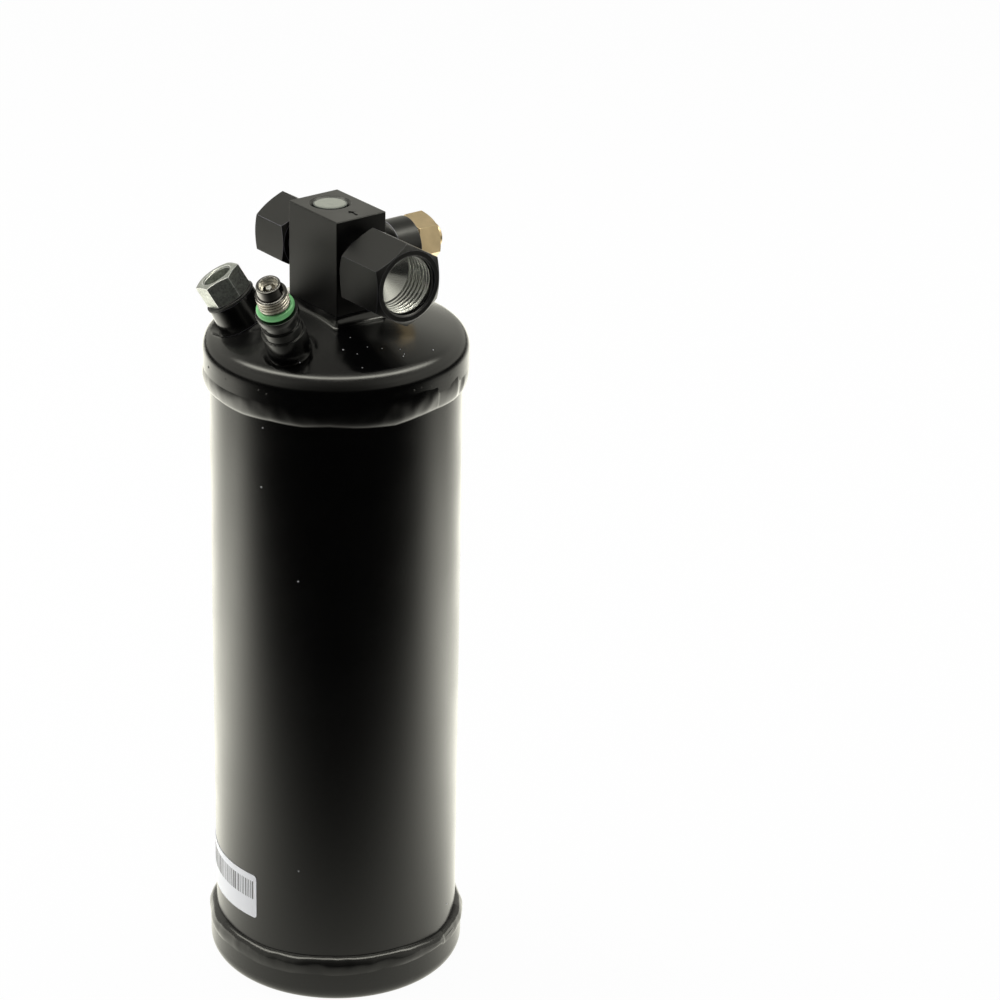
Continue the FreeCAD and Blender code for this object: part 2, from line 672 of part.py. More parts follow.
def socket(name, diameter, passage, depth, frame):
    """A socket in a face of the block and the passage that goes on from it."""
    return [
        cylinder(name + "_socket", diameter + " + 2 * fit_gap", "-socket_depth",
                 "socket_depth", frame),
        cylinder(name + "_passage", passage, "-(%s)" % depth, depth, frame),
    ]


sight_cut = turned("sight_cut", [
    ("0", "-block_height + line_height"),
    ("line_bore / 2", "-block_height + line_height"),
    ("line_bore / 2", "-sight_depth"),
    ("sight_bore / 2", "-sight_depth"),
    ("sight_bore / 2", "(sight_bore - sight_countersink) / 2"),
    ("sight_countersink / 2", "0"),
    ("0", "0"),
], SIGHT)
block_cuts = (
    socket("inlet", "inlet_socket", "line_bore",
           "block_length / 2 - inlet_drop_offset + inlet_drop / 2", INLET)
    + socket("outlet", "outlet_socket", "line_bore", "block_length / 2 - pickup_offset", OUTLET)
    + socket("relief", "relief_tail", "relief_orifice", "block_back", RELIEF)
    + [
        cylinder("drop_cut", "inlet_drop", "-spigot_depth", "spigot_depth + line_height",
                 BLOCK, across="inlet_drop_offset"),
        cylinder("riser_cut", "pickup_diameter + 2 * fit_gap", "spigot_low",
                 "pickup_high - spigot_low", RISER),
        cylinder("riser_passage", "pickup_diameter - 2 * pickup_wall", "spigot_low",
                 "line_level - spigot_low", RISER),
        sight_cut,
    ]
)
node(cut("head_block", joined("block_metal", [block_box, spigot]), block_cuts), "head_block")


def block_ring(name, out, level):
    """A rounded rectangle round the block, at a level above its foot."""
    half_length = size("block_length") / 2 + out
    half_width = size("block_width") / 2 + out
    corner = size("block_edge") + out
    edges = []
    for quarter, (turn_x, turn_y) in enumerate([(1, 1), (-1, 1), (-1, -1), (1, -1)]):
        centre = Vector(turn_x * (half_length - corner), turn_y * (half_width - corner), level)
        circle = Part.Circle(centre, Vector(0, 0, 1), corner)
        edges.append(Part.ArcOfCircle(
            circle, quarter * math.pi / 2, (quarter + 1) * math.pi / 2).toShape())
    corners = list(edges)
    for first, second in zip(corners, corners[1:] + corners[:1]):
        edges.append(Part.makeLine(first.Vertexes[-1].Point, second.Vertexes[0].Point))
    ring = document.addObject("Part::Feature", name)
    ring.Shape = Part.Wire(Part.__sortEdges__(edges))
    return stand(ring, BLOCK)


weld_rings = []
for step in range(WELD_STEPS + 1):
    angle = math.radians(90 * step / WELD_STEPS)
    out = size("block_weld_width") * (1 - math.sin(angle)) + size("fit_gap")
    level = size("block_weld_height") * (1 - math.cos(angle))
    weld_rings.append(block_ring("weld_ring_%d" % step, out, level))
weld_rings.insert(0, block_ring(
    "weld_ring_foot", size("block_weld_width") + size("fit_gap"), -size("spigot_depth")))
weld_form = document.addObject("Part::Loft", "weld_form")
weld_form.Sections = weld_rings
weld_form.Solid = True
weld_form.Ruled = True
block_room = bar("block_room", "block_length", "block_width", "-spigot_depth",
                 "block_height + spigot_depth", BLOCK)
node(cut("block_weld", weld_form, [block_room, dome_outside]), "block_weld")


def fitting(name, frame):
    """A hexagonal fitting with a tail in the block and an inside thread."""
    flats, neck, tail = name + "_hexagon", name + "_neck", name + "_socket"
    neck_length, length = name + "_neck_length", name + "_hexagon_length"
    thread, depth, lead = name + "_thread_bore", name + "_thread_depth", name + "_lead"
    mouth = "%s + %s" % (neck_length, length)
    metal = joined(name + "_metal", [
        cylinder(name + "_tail_form", tail, "-socket_depth", "socket_depth", frame),
        cylinder(name + "_neck_form", neck, "0", neck_length, frame),
        hexagon(name, flats, neck_length, length, frame),
    ])
    bore = turned(name + "_bore", [
        ("0", "-socket_depth"),
        ("line_bore / 2", "-socket_depth"),
        ("line_bore / 2", "{0} - {1} - ({2} - line_bore) / 2 * tan(30)".format(
            mouth, depth, thread)),
        (thread + " / 2", "%s - %s" % (mouth, depth)),
        (thread + " / 2", "{0} - ({1} - {2}) / 2".format(mouth, lead, thread)),
        (lead + " / 2", mouth),
        ("0", mouth),
    ], frame)
    return node(cut(name + "_fitting", metal, [bore]), name + "_fitting")


fitting("inlet", INLET)
fitting("outlet", OUTLET)

# Sight glass in the block's top

node(turned("sight_glass_seal", [
    ("sight_window / 2", "-sight_depth"),
    ("sight_bore / 2 - fit_gap", "-sight_depth"),
    ("sight_bore / 2 - fit_gap", "sight_seal_height - sight_depth"),
    ("sight_window / 2", "sight_seal_height - sight_depth"),
], SIGHT), "sight_glass_seal")
node(turned("sight_glass_ring", [
    ("sight_window / 2", "sight_seal_height - sight_depth"),
    ("sight_bore / 2 - fit_gap", "sight_seal_height - sight_depth"),
    ("sight_bore / 2 - fit_gap", "-sight_ring_sink"),
    ("sight_window / 2", "-sight_ring_sink"),
], SIGHT), "sight_glass_ring")
glass_sphere = "((sight_window / 2) ^ 2 / sight_glass_crown + sight_glass_crown) / 2"
node(domed("sight_glass", "sight_window / 2 - fit_gap", "sight_seal_height - sight_depth",
           "(sight_glass_crown - sight_glass_sink)", glass_sphere, "fit_gap"), "sight_glass")
stand(nodes[-1], SIGHT)

# Service port: a turned body with the thread's crest form, an O-ring and a core valve

service_port = turned("service_port_body", [
    ("port_bore / 2", "-pilot_depth"),
    ("port_pilot / 2", "-pilot_depth"),
    ("port_pilot / 2", "0"),
    ("port_base / 2", "0"),
    ("port_base / 2", "port_base_length"),
    ("port_step / 2", "port_base_length"),
    ("port_step / 2", "port_step_end"),
    ("port_waist / 2", "port_step_end"),
    ("port_waist / 2", "port_waist_end"),
    ("port_shoulder / 2", "port_waist_end"),
    ("port_shoulder / 2", "port_shoulder_end"),
    ("ring_seat / 2", "ring_seat_low"),
    ("ring_seat / 2", "ring_seat_high"),
    ("port_thread / 2", "ring_seat_high + (port_thread - ring_seat) / 4"),
    ("port_thread / 2", "port_thread_end"),
    ("port_nose / 2", "port_thread_end"),
    ("port_tip / 2", "port_length"),
    ("port_mouth / 2", "port_length"),
    ("port_mouth / 2", "core_low"),
    ("port_bore / 2", "core_low"),
], PORT)
rounded(service_port, "port_lip", [
    ("port_tip / 2", "port_length"),
    ("port_mouth / 2", "port_length"),
])
node(service_port, "service_port_body")

o_ring = document.addObject("Part::Torus", "port_o_ring")
o_ring.setExpression("Radius1", tied("ring_seat / 2 + ring_section / 2"))
o_ring.setExpression("Radius2", tied("ring_section / 2"))
node(stand(o_ring, PORT, ("0", "0", "ring_level")), "port_o_ring")

core_barrel = turned("core_barrel", [
    ("pin_diameter / 2 + pin_gap", "core_low"),
    ("core_outside", "core_low"),
    ("core_outside", "core_top"),
    ("core_bore / 2", "core_top"),
    ("core_bore / 2", "core_floor_top"),
    ("pin_diameter / 2 + pin_gap", "core_floor_top"),
], PORT)
bridge = cut("core_bridge_form", bar(
    "bridge_bar", "core_bore + 2 * fit_gap", "core_bridge", "bridge_low",
    "core_bridge_height", PORT), [cylinder(
        "bridge_hole", "pin_diameter + 2 * pin_gap", "bridge_low", "core_bridge_height", PORT)])
node(joined("valve_core_body", [core_barrel, bridge]), "valve_core_body")

node(turned("valve_core_pin", [
    ("0", "pin_seal_top - pin_seal_height"),
    ("pin_seal / 2", "pin_seal_top - pin_seal_height"),
    ("pin_seal / 2", "pin_seal_top"),
    ("pin_diameter / 2", "pin_seal_top"),
    ("pin_diameter / 2", "pin_collar_low"),
    ("pin_collar / 2", "pin_collar_low"),
    ("pin_collar / 2", "pin_collar_top"),
    ("pin_diameter / 2", "pin_collar_top"),
    ("pin_diameter / 2", "pin_top - pin_head_height"),
    ("pin_head / 2", "pin_top - pin_head_height"),
    ("pin_head / 2", "pin_top"),
    ("0", "pin_top"),
], PORT), "valve_core_pin")
node(coil("valve_core_spring", "core_spring_wire", "(pin_collar - core_spring_wire) / 2",
          "core_spring_low", "core_spring_high - core_spring_low", "core_spring_turns", PORT),
     "valve_core_spring")

# Moisture indicator: a tapered boss, a washer and a hexagon plug with its window

node(turned("indicator_boss", [
    ("boss_bore / 2", "-pilot_depth"),
    ("boss_pilot / 2", "-pilot_depth"),
    ("boss_pilot / 2", "0"),
    ("boss_base / 2", "0"),
    ("boss_top / 2", "boss_height"),
    ("boss_bore / 2", "boss_height"),
], INDICATOR), "indicator_boss")
node(turned("indicator_gasket", [
    ("boss_bore / 2", "boss_height"),
    ("washer_diameter / 2", "boss_height"),
    ("washer_diameter / 2", "washer_top"),
    ("boss_bore / 2", "washer_top"),
], INDICATOR), "indicator_gasket")
plug_metal = joined("plug_metal", [
    hexagon("indicator_plug", "plug_hexagon", "washer_top", "plug_height", INDICATOR,
            chamfer="plug_chamfer"),
    cylinder("plug_shank_form", "boss_bore - 2 * fit_gap", "washer_top - plug_shank",
             "plug_shank", INDICATOR),
])
plug_bore = turned("plug_bore", [
    ("0", "washer_top - plug_shank"),
    ("plug_port / 2", "washer_top - plug_shank"),
    ("plug_port / 2", "plug_ledge"),
    ("plug_window / 2", "plug_ledge"),
    ("plug_window / 2", "plug_top - plug_bevel"),
    ("plug_window / 2 + plug_bevel", "plug_top"),
    ("0", "plug_top"),
], INDICATOR)
node(cut("indicator_plug", plug_metal, [plug_bore]), "indicator_plug")
node(cylinder("indicator_disc", "disc_diameter", "plug_ledge", "disc_height", INDICATOR),
     "indicator_disc")
node(cylinder("indicator_glass", "plug_window - 2 * fit_gap", "glass_low", "glass_height",
              INDICATOR), "indicator_glass")

# Relief valve: adapter, brass body, discharge plug, poppet with its seal and spring

node(turned("relief_adapter", [
    ("relief_orifice / 2", "-socket_depth"),
    ("relief_tail / 2", "-socket_depth"),
    ("relief_tail / 2", "0"),
    ("relief_neck / 2", "0"),
    ("relief_neck / 2", "relief_neck_length"),
    ("relief_collar / 2", "relief_collar_start"),
    ("relief_collar / 2", "relief_collar_end"),
    ("relief_thread / 2 + fit_gap", "relief_collar_end"),
    ("relief_thread / 2 + fit_gap", "relief_inlet"),
    ("relief_orifice / 2", "relief_inlet"),
], RELIEF), "relief_adapter")
relief_metal = joined("relief_metal", [
    hexagon("relief_valve", "relief_hexagon", "relief_collar_end", "relief_hexagon_length",
            RELIEF, "relief_hexagon_turn"),
    cylinder("relief_thread_form", "relief_thread", "relief_inlet", "relief_thread_length",
             RELIEF),
])
relief_bore = turned("relief_bore", [
    ("0", "relief_inlet"),
    ("relief_orifice / 2", "relief_inlet"),
    ("relief_orifice / 2", "relief_seat_level"),
    ("relief_chamber / 2", "relief_seat_level"),
    ("relief_chamber / 2", "relief_plug_low"),
    ("relief_plug_diameter / 2 + fit_gap", "relief_plug_low"),
    ("relief_plug_diameter / 2 + fit_gap", "relief_hexagon_end"),
    ("0", "relief_hexagon_end"),
], RELIEF)
node(cut("relief_valve_body", relief_metal, [relief_bore]), "relief_valve_body")
node(turned("relief_valve_plug", [
    ("relief_plug_bore / 2", "relief_plug_low"),
    ("relief_plug_diameter / 2", "relief_plug_low"),
    ("relief_plug_diameter / 2", "relief_hexagon_end + relief_plug_out"),
    ("relief_plug_bore / 2", "relief_hexagon_end + relief_plug_out"),
], RELIEF), "relief_valve_plug")
node(cylinder("relief_seal", "poppet_diameter - 2 * fit_gap", "relief_seat_level + poppet_gap",
              "relief_seal_height", RELIEF), "relief_seal")
node(turned("relief_poppet", [
    ("0", "poppet_low"),
    ("poppet_diameter / 2", "poppet_low"),
    ("poppet_diameter / 2", "poppet_high"),
    ("poppet_stem / 2", "poppet_high"),
    ("poppet_stem / 2", "poppet_high + poppet_stem_length"),
    ("0", "poppet_high + poppet_stem_length"),
], RELIEF), "relief_poppet")
node(coil("relief_spring", "relief_spring_wire", "(poppet_diameter - relief_spring_wire) / 2",
          "relief_spring_low", "relief_spring_high - relief_spring_low",
          "relief_spring_turns", RELIEF), "relief_spring")

# Inside the can: riser, strainer, and the charge between felts and perforated plates

node(turned("pickup_tube", [
    ("pickup_diameter / 2 - pickup_wall", "pickup_foot"),
    ("pickup_diameter / 2", "pickup_foot"),
    ("pickup_diameter / 2", "pickup_high"),
    ("pickup_diameter / 2 - pickup_wall", "pickup_high"),
], RISER), "pickup_tube")
node(turned("pickup_strainer", [
    ("0", "strainer_low"),
    ("strainer_diameter / 2", "strainer_low"),
    ("strainer_diameter / 2", "strainer_low + strainer_length"),
    ("pickup_diameter / 2 + fit_gap", "strainer_low + strainer_length"),
    ("pickup_diameter / 2 + fit_gap", "strainer_low + strainer_length - strainer_wall"),
    ("strainer_diameter / 2 - strainer_wall", "strainer_low + strainer_length - strainer_wall"),
    ("strainer_diameter / 2 - strainer_wall", "strainer_low + strainer_wall"),
    ("0", "strainer_low + strainer_wall"),
], RISER), "pickup_strainer")


def hole_ring(body, name, reach, count):
    """A ring of holes through a plate."""
    sketch = body.newObject("Sketcher::SketchObject", name + "_sketch")
    sketch.AttachmentSupport = [(origin_plane(body, "XY_Plane"), "")]
    sketch.MapMode = "FlatFace"
    cells, values = outline_cells([(reach, "plate_hole / 2")])
    across, radius = values[0]
    sketch.addGeometry(Part.Circle(Vector(across, 0, 0), Vector(0, 0, 1), radius), False)
    ties = sketch.addConstraint([
        Sketcher.Constraint("PointOnObject", 0, 3, -1),
        Sketcher.Constraint("DistanceX", -1, 1, 0, 3, across),
        Sketcher.Constraint("Radius", 0, radius),
    ])
    sketch.setExpression("Constraints[%d]" % ties[1], "outlines." + cells[0][0])
    sketch.setExpression("Constraints[%d]" % ties[2], "outlines." + cells[0][1])
    hole = body.newObject("PartDesign::Pocket", name)
    hole.Profile = sketch
    hole.Type = "ThroughAll"
    hole.Midplane = True
    ring = body.newObject("PartDesign::PolarPattern", name + "_ring")
    ring.Originals = [hole]
    ring.Axis = (sketch, ["N_Axis"])
    ring.Angle = 360
    ring.Occurrences = count
    body.Tip = ring


def perforated(name, points):
    """A turned plate with two rings of holes and the riser's hole."""
    plate = turned(name + "_form", points)
    hole_ring(plate, name + "_inner_holes", "plate_inner_ring", INNER_HOLES)
    hole_ring(plate, name + "_outer_holes", "plate_outer_ring", OUTER_HOLES)
    return node(cut(name, plate, [riser_hole(name)]), name)


def riser_hole(name):
    """Room for the riser through a piece of the charge."""
    return cylinder(name + "_riser_hole", "riser_room", "0", "tube_high", RISER)


def packed_disc(name, low, high):
    """A disc of the charge with the riser's hole."""
    form = cylinder(name + "_form", "2 * charge_outside", low, "%s - %s" % (high, low))
    return node(cut(name, form, [riser_hole(name)]), name)


perforated("lower_plate", [
    ("0", "lower_plate_top - plate_thickness"),
    ("plate_skirt - plate_thickness", "lower_plate_top - plate_thickness"),
    ("plate_skirt - plate_thickness", "cap_wall"),
    ("plate_skirt", "cap_wall"),
    ("plate_skirt", "lower_plate_top - plate_thickness"),
    ("charge_outside", "lower_plate_top - plate_thickness"),
    ("charge_outside", "lower_plate_top"),
    ("0", "lower_plate_top"),
])
packed_disc("lower_filter_pad", "lower_plate_top", "lower_pad_top")
packed_disc("desiccant_bed", "lower_pad_top", "bed_top")
packed_disc("upper_filter_pad", "bed_top", "upper_pad_top")
perforated("upper_plate", [
    ("0", "upper_pad_top"),
    ("charge_outside", "upper_pad_top"),
    ("charge_outside", "upper_pad_top + plate_rim"),
    ("charge_outside - plate_thickness", "upper_pad_top + plate_rim"),
    ("charge_outside - plate_thickness", "upper_plate_top"),
    ("0", "upper_plate_top"),
])
node(coil("compression_spring", "press_spring_wire", "press_spring_radius",
          "press_spring_low", "press_spring_high - press_spring_low", "press_spring_turns"),
     "compression_spring")

# Label on the can's wall

label = turned("label", [
    ("tube_radius", "label_low"),
    ("tube_radius + label_thickness", "label_low"),
    ("tube_radius + label_thickness", "label_low + label_height"),
    ("tube_radius", "label_low + label_height"),
], (("0", "0", "0"), "0", "label_start"), "label_span")
filleted(label, "label_corner",
         lambda edge: abs(edge.Length - size("label_thickness")) < SAME
         and abs(edge.Vertexes[0].Z - edge.Vertexes[1].Z) < SAME)
node(label, "label")

# Every object is sound before anything is written

document.recompute()
for thing in document.Objects:
    if "Invalid" in thing.State or "Error" in thing.State:
        raise RuntimeError("%s failed" % thing.Name)
for thing in nodes:
    if thing.Shape.isNull() or not thing.Shape.isValid() or len(thing.Shape.Solids) != 1:
        raise RuntimeError("%s is not one sound solid" % thing.Label)
os.makedirs("parts", exist_ok=True)
for thing in nodes:
    thing.Shape.exportStep("parts/%s.step" % thing.Label)
print("wrote", len(nodes), "pieces")
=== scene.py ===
import json
import math

import bmesh
import bpy
from mathutils import Matrix, Vector, noise


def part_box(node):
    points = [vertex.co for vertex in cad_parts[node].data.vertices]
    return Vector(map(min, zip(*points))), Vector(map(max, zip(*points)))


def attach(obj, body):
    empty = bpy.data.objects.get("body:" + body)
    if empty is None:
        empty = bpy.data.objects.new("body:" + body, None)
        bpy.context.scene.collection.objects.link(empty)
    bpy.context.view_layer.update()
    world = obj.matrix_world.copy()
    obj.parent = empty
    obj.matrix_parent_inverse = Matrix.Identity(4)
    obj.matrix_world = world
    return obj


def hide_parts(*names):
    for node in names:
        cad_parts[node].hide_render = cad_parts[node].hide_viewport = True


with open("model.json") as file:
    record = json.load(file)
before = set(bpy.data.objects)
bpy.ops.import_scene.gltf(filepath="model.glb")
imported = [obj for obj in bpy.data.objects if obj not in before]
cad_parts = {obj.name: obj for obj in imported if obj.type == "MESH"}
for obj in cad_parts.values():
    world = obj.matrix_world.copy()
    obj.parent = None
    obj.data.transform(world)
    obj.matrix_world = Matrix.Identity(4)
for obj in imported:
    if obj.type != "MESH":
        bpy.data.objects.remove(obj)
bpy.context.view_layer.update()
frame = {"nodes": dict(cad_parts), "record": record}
record = frame["record"]
nodes = frame["nodes"]

MM = 0.001
UP = Vector((0, 0, 1))

# The camera, as fitted to the can, cap and block in the photograph

PHOTO_SIZE = 1000
FOCAL_PIXELS = 3483.2
CENTRE_PIXEL_X = 335.9
CAMERA_AZIMUTH = math.radians(54.7)
CAMERA_PITCH = math.radians(24.03)
CAMERA_REACH = 0.96879
CAMERA_HEIGHT = 0.58652
SENSOR = 36.0

TOWARD_CAMERA = Vector((math.sin(CAMERA_AZIMUTH), -math.cos(CAMERA_AZIMUTH), 0))
CAMERA_RIGHT = Vector((math.cos(CAMERA_AZIMUTH), math.sin(CAMERA_AZIMUTH), 0))

# Node tree helpers

NOISE_SPAN = (0.3, 0.7)


def add_node(tree, kind, **settings):
    made = tree.nodes.new(kind)
    for name, value in settings.items():
        setattr(made, name, value)
    return made


def link(tree, source, target):
    tree.links.new(source, target)


def math_node(tree, operation, first, second=None):
    made = add_node(tree, "ShaderNodeMath", operation=operation)
    for number, value in enumerate((first, second)):
        if value is None:
            continue
        if isinstance(value, (int, float)):
            made.inputs[number].default_value = value
        else:
            link(tree, value, made.inputs[number])
    return made.outputs[0]


def product(tree, value, *factors):
    for factor in factors:
        value = math_node(tree, "MULTIPLY", value, factor)
    return value


def noise_at(tree, scale, detail=2.0, roughness=0.5):
    """Noise that keeps its place on the piece."""
    made = add_node(tree, "ShaderNodeTexNoise")
    made.inputs["Scale"].default_value = scale
    made.inputs["Detail"].default_value = detail
    made.inputs["Roughness"].default_value = roughness
    place = add_node(tree, "ShaderNodeTexCoord").outputs["Object"]
    link(tree, place, made.inputs["Vector"])
    return made.outputs["Fac"]


def ranged(tree, source, low, high, to_low=0, to_high=1):
    made = add_node(tree, "ShaderNodeMapRange")
    link(tree, source, made.inputs["Value"])
    made.inputs["From Min"].default_value = low
    made.inputs["From Max"].default_value = high
    made.inputs["To Min"].default_value = to_low
    made.inputs["To Max"].default_value = to_high
    return made.outputs["Result"]


def mixed_colour(tree, share, first, second):
    made = add_node(tree, "ShaderNodeMix", data_type="RGBA")
    link(tree, share, made.inputs["Factor"])
    for name, colour in (("A", first), ("B", second)):
        socket = [s for s in made.inputs if s.name == name and s.type == "RGBA"][0]
        socket.default_value = (*colour, 1)
    return [s for s in made.outputs if s.type == "RGBA"][0]


def bumped(tree, height, distance):
    made = add_node(tree, "ShaderNodeBump")
    made.inputs["Strength"].default_value = 1.0
    made.inputs["Distance"].default_value = distance
    link(tree, height, made.inputs["Height"])
    return made.outputs["Normal"]


def surface(name, colour, roughness, metallic=0.0, **settings):
    """A material with its shader's plain sockets set, its tree to add to, and its shader."""
    material = bpy.data.materials.new(name)
    material.use_nodes = True
    shader = material.node_tree.nodes["Principled BSDF"]
    shader.inputs["Base Color"].default_value = (*colour, 1)
    shader.inputs["Roughness"].default_value = roughness
    shader.inputs["Metallic"].default_value = metallic
    for socket, value in settings.items():
        shader.inputs[socket.replace("_", " ")].default_value = value
    return material, material.node_tree, shader


# Materials

COATING_IOR = 1.5
PAINT_BLACK = (0.0015, 0.0015, 0.0016)
PAINT_DUST = (0.012, 0.012, 0.012)
PAINT_GLOSS = (0.17, 0.25)
SATIN_GLOSS = (0.30, 0.40)
CLOUD_SCALE = 60
DUST_SCALE = 5200
DUST_SPAN = (0.62, 0.8)
PEEL_SCALE = 750
PAINT_PEEL = 0.006 * MM
GRAIN_SCALE = 900
TARNISH_SPAN = (0.35, 0.7)
RUBBER_SCALE = 2600
RUBBER_SPREAD = 0.06
WAVE_SCALE = 300
FINE_RELIEF = 0.01 * MM
SOFT_ROUGHNESS = 0.9
GLASS_ROUGHNESS = 0.02


def black_paint(name, gloss):
    """Black paint: cloudy in its gloss, with fine dust in it and a faint orange peel."""
    material, tree, shader = surface(name, PAINT_BLACK, gloss[1], IOR=COATING_IOR)
    cloudy = noise_at(tree, CLOUD_SCALE, detail=3)
    link(tree, ranged(tree, cloudy, *NOISE_SPAN, *gloss), shader.inputs["Roughness"])
    dusty = ranged(tree, noise_at(tree, DUST_SCALE, detail=1), *DUST_SPAN)
    link(tree, mixed_colour(tree, dusty, PAINT_BLACK, PAINT_DUST), shader.inputs["Base Color"])
    skin = noise_at(tree, PEEL_SCALE)
    link(tree, bumped(tree, skin, PAINT_PEEL), shader.inputs["Normal"])
    return material


def metal(name, colour, roughness, worn=0.25, relief=0.004 * MM, darker=0.8, mottle=240, bare=1.0):
    """Bare or plated metal: mottled in its colour, with fine grain in its gloss and relief."""
    material, tree, shader = surface(name, colour, roughness, metallic=bare)
    grain = noise_at(tree, GRAIN_SCALE, detail=4, roughness=0.6)
    gloss = ranged(tree, grain, *NOISE_SPAN, roughness * (1 - worn), roughness * (1 + worn))
    link(tree, gloss, shader.inputs["Roughness"])
    dull = tuple(channel * darker for channel in colour)
    tarnish = ranged(tree, noise_at(tree, mottle, detail=5), *TARNISH_SPAN)
    link(tree, mixed_colour(tree, tarnish, dull, colour), shader.inputs["Base Color"])
    link(tree, bumped(tree, grain, relief), shader.inputs["Normal"])
    return material


def rubber(name, colour, roughness):
    """Rubber, paper, ink or a paint film: even, with a fine grain."""
    material, tree, shader = surface(name, colour, roughness, IOR=COATING_IOR)
    fine = noise_at(tree, RUBBER_SCALE)
    gloss = ranged(tree, fine, *NOISE_SPAN, roughness - RUBBER_SPREAD, roughness + RUBBER_SPREAD)
    link(tree, gloss, shader.inputs["Roughness"])
    link(tree, bumped(tree, fine, FINE_RELIEF), shader.inputs["Normal"])
    return material


def soft_stuff(name, colour, dark, scale, relief):
    """Felt or loose beads: colour and relief from one noise, darker in its hollows as painted
    shade.
    """
    material, tree, shader = surface(name, colour, SOFT_ROUGHNESS)
    lumps = noise_at(tree, scale, detail=4, roughness=0.7)
    # Darker where the relief is low: painted shade in its hollows.
    shade = mixed_colour(tree, ranged(tree, lumps, *NOISE_SPAN), dark, colour)
    link(tree, shade, shader.inputs["Base Color"])
    link(tree, bumped(tree, lumps, relief), shader.inputs["Normal"])
    return material


def clear_glass(name, colour, clear=1.0):
    """Glass with slow waves in its face, clear, or partly a pale film that is a painted reflection.
    """
    material, tree, shader = surface(name, colour, GLASS_ROUGHNESS, IOR=COATING_IOR,
                                     Transmission_Weight=clear)
    waves = noise_at(tree, WAVE_SCALE, detail=1)
    link(tree, bumped(tree, waves, FINE_RELIEF), shader.inputs["Normal"])
    return material


SATIN_PAINT = black_paint("satin_black", SATIN_GLOSS)
BAR_INK = rubber("bar_ink", (0.10, 0.10, 0.105), 0.5)
BORE_METAL = metal("cut_thread", (0.92, 0.93, 0.90), 0.20,
                   worn=0.1, relief=0, darker=0.95, bare=0.9)
# A darker copy of the cut metal for the faces deep in the bores' thread grooves: painted shade.
BORE_ROOT_PAINTED_SHADE = metal("thread_root_painted_shade", (0.34, 0.34, 0.33), 0.30, worn=0.1, relief=0, darker=0.9)
THREAD_METAL = metal("worn_thread", (0.50, 0.47, 0.42), 0.28, darker=0.75)
# A near-black metal for the faces in the port thread's grooves: painted shade.
PORT_GROOVE_PAINTED_SHADE = metal("groove_painted_shade", (0.10, 0.085, 0.075), 0.35, darker=0.8)
# A lighter, purplish paint on broken edges: a painted highlight along them.
EDGE_PAINTED_HIGHLIGHT = rubber("edge_painted_highlight", (0.17, 0.165, 0.19), 0.35)
# A bright metal on the plated plug's broken edges: a painted highlight.
PLATED_EDGE_PAINTED_HIGHLIGHT = metal("plated_edge_painted_highlight", (0.80, 0.80, 0.78), 0.30, darker=0.95, bare=0.6)
NOSE_METAL = metal("dark_nose", (0.16, 0.155, 0.15), 0.16, darker=0.8)
DULL_RING = rubber("dull_ring", (0.06, 0.07, 0.06), 0.22)
# Glass that is mostly a pale diffuse film: a painted reflection on the windows.
WINDOW_PAINTED_REFLECTION = clear_glass("window_painted_reflection", (0.32, 0.34, 0.28), clear=0.2)
MATERIALS = {
    "black_paint": black_paint("painted_black", PAINT_GLOSS),
    "brass": metal("machined_brass", (0.72, 0.565, 0.35), 0.36, worn=0.2, darker=0.88),
    "zinc_steel": metal("zinc_plate", (0.42, 0.44, 0.40), 0.38,
                        worn=0.3, relief=0.008 * MM, darker=0.5, mottle=1500, bare=0.75),
    "bare_steel": metal("bare_steel", (0.86, 0.86, 0.84), 0.27, relief=0.001 * MM, darker=0.94),
    "spring_steel": metal("spring_wire", (0.45, 0.45, 0.47), 0.35),
    "clear_glass": clear_glass("window_glass", (0.92, 0.97, 0.95)),
    "black_rubber": rubber("black_rubber", (0.012, 0.012, 0.012), 0.55),
    "green_rubber": rubber("green_rubber", (0.20, 0.58, 0.22), 0.36),
    "blue_paper": rubber("moisture_paper", (0.08, 0.30, 0.55), 0.7),
    "white_paper": rubber("label_paper", (0.82, 0.83, 0.85), 0.5),
    "felt": soft_stuff("felt", (0.72, 0.70, 0.62), (0.50, 0.48, 0.42), 1500, 0.1 * MM),
    "desiccant": soft_stuff("drying_beads", (0.70, 0.66, 0.55), (0.42, 0.38, 0.30), 600, 0.4 * MM),
}
OWN_LOOKS = {
    "sight_glass_ring": DULL_RING,
    # The windows' pale diffuse colour is a painted reflection.
    "sight_glass": WINDOW_PAINTED_REFLECTION,
    "indicator_glass": WINDOW_PAINTED_REFLECTION,
    "valve_core_body": THREAD_METAL,
    "relief_adapter": SATIN_PAINT,
}


def dress(thing, material):
    thing.data.materials.clear()
    thing.data.materials.append(material)


for subpart in record["subparts"]:
    name = subpart["node"]
    dress(nodes[name], OWN_LOOKS.get(name, MATERIALS[subpart["material_slot"]]))


# Making pieces, in the object's own frame

SHARP_ANGLE = math.radians(32)
TURNED_SHARP_ANGLE = math.radians(50)


def on_circle(radius, turn, level):
    return Vector((radius * math.cos(turn), radius * math.sin(turn), level))


def closed_mesh(name, corners, faces):
    """A closed mesh from its corners and faces, with the faces turned outward."""
    mesh = bpy.data.meshes.new(name)
    mesh.from_pydata([tuple(corner) for corner in corners], [], faces)
    shell = bmesh.new()
    shell.from_mesh(mesh)
    bmesh.ops.recalc_face_normals(shell, faces=shell.faces)
    shell.to_mesh(mesh)
    shell.free()
    return mesh


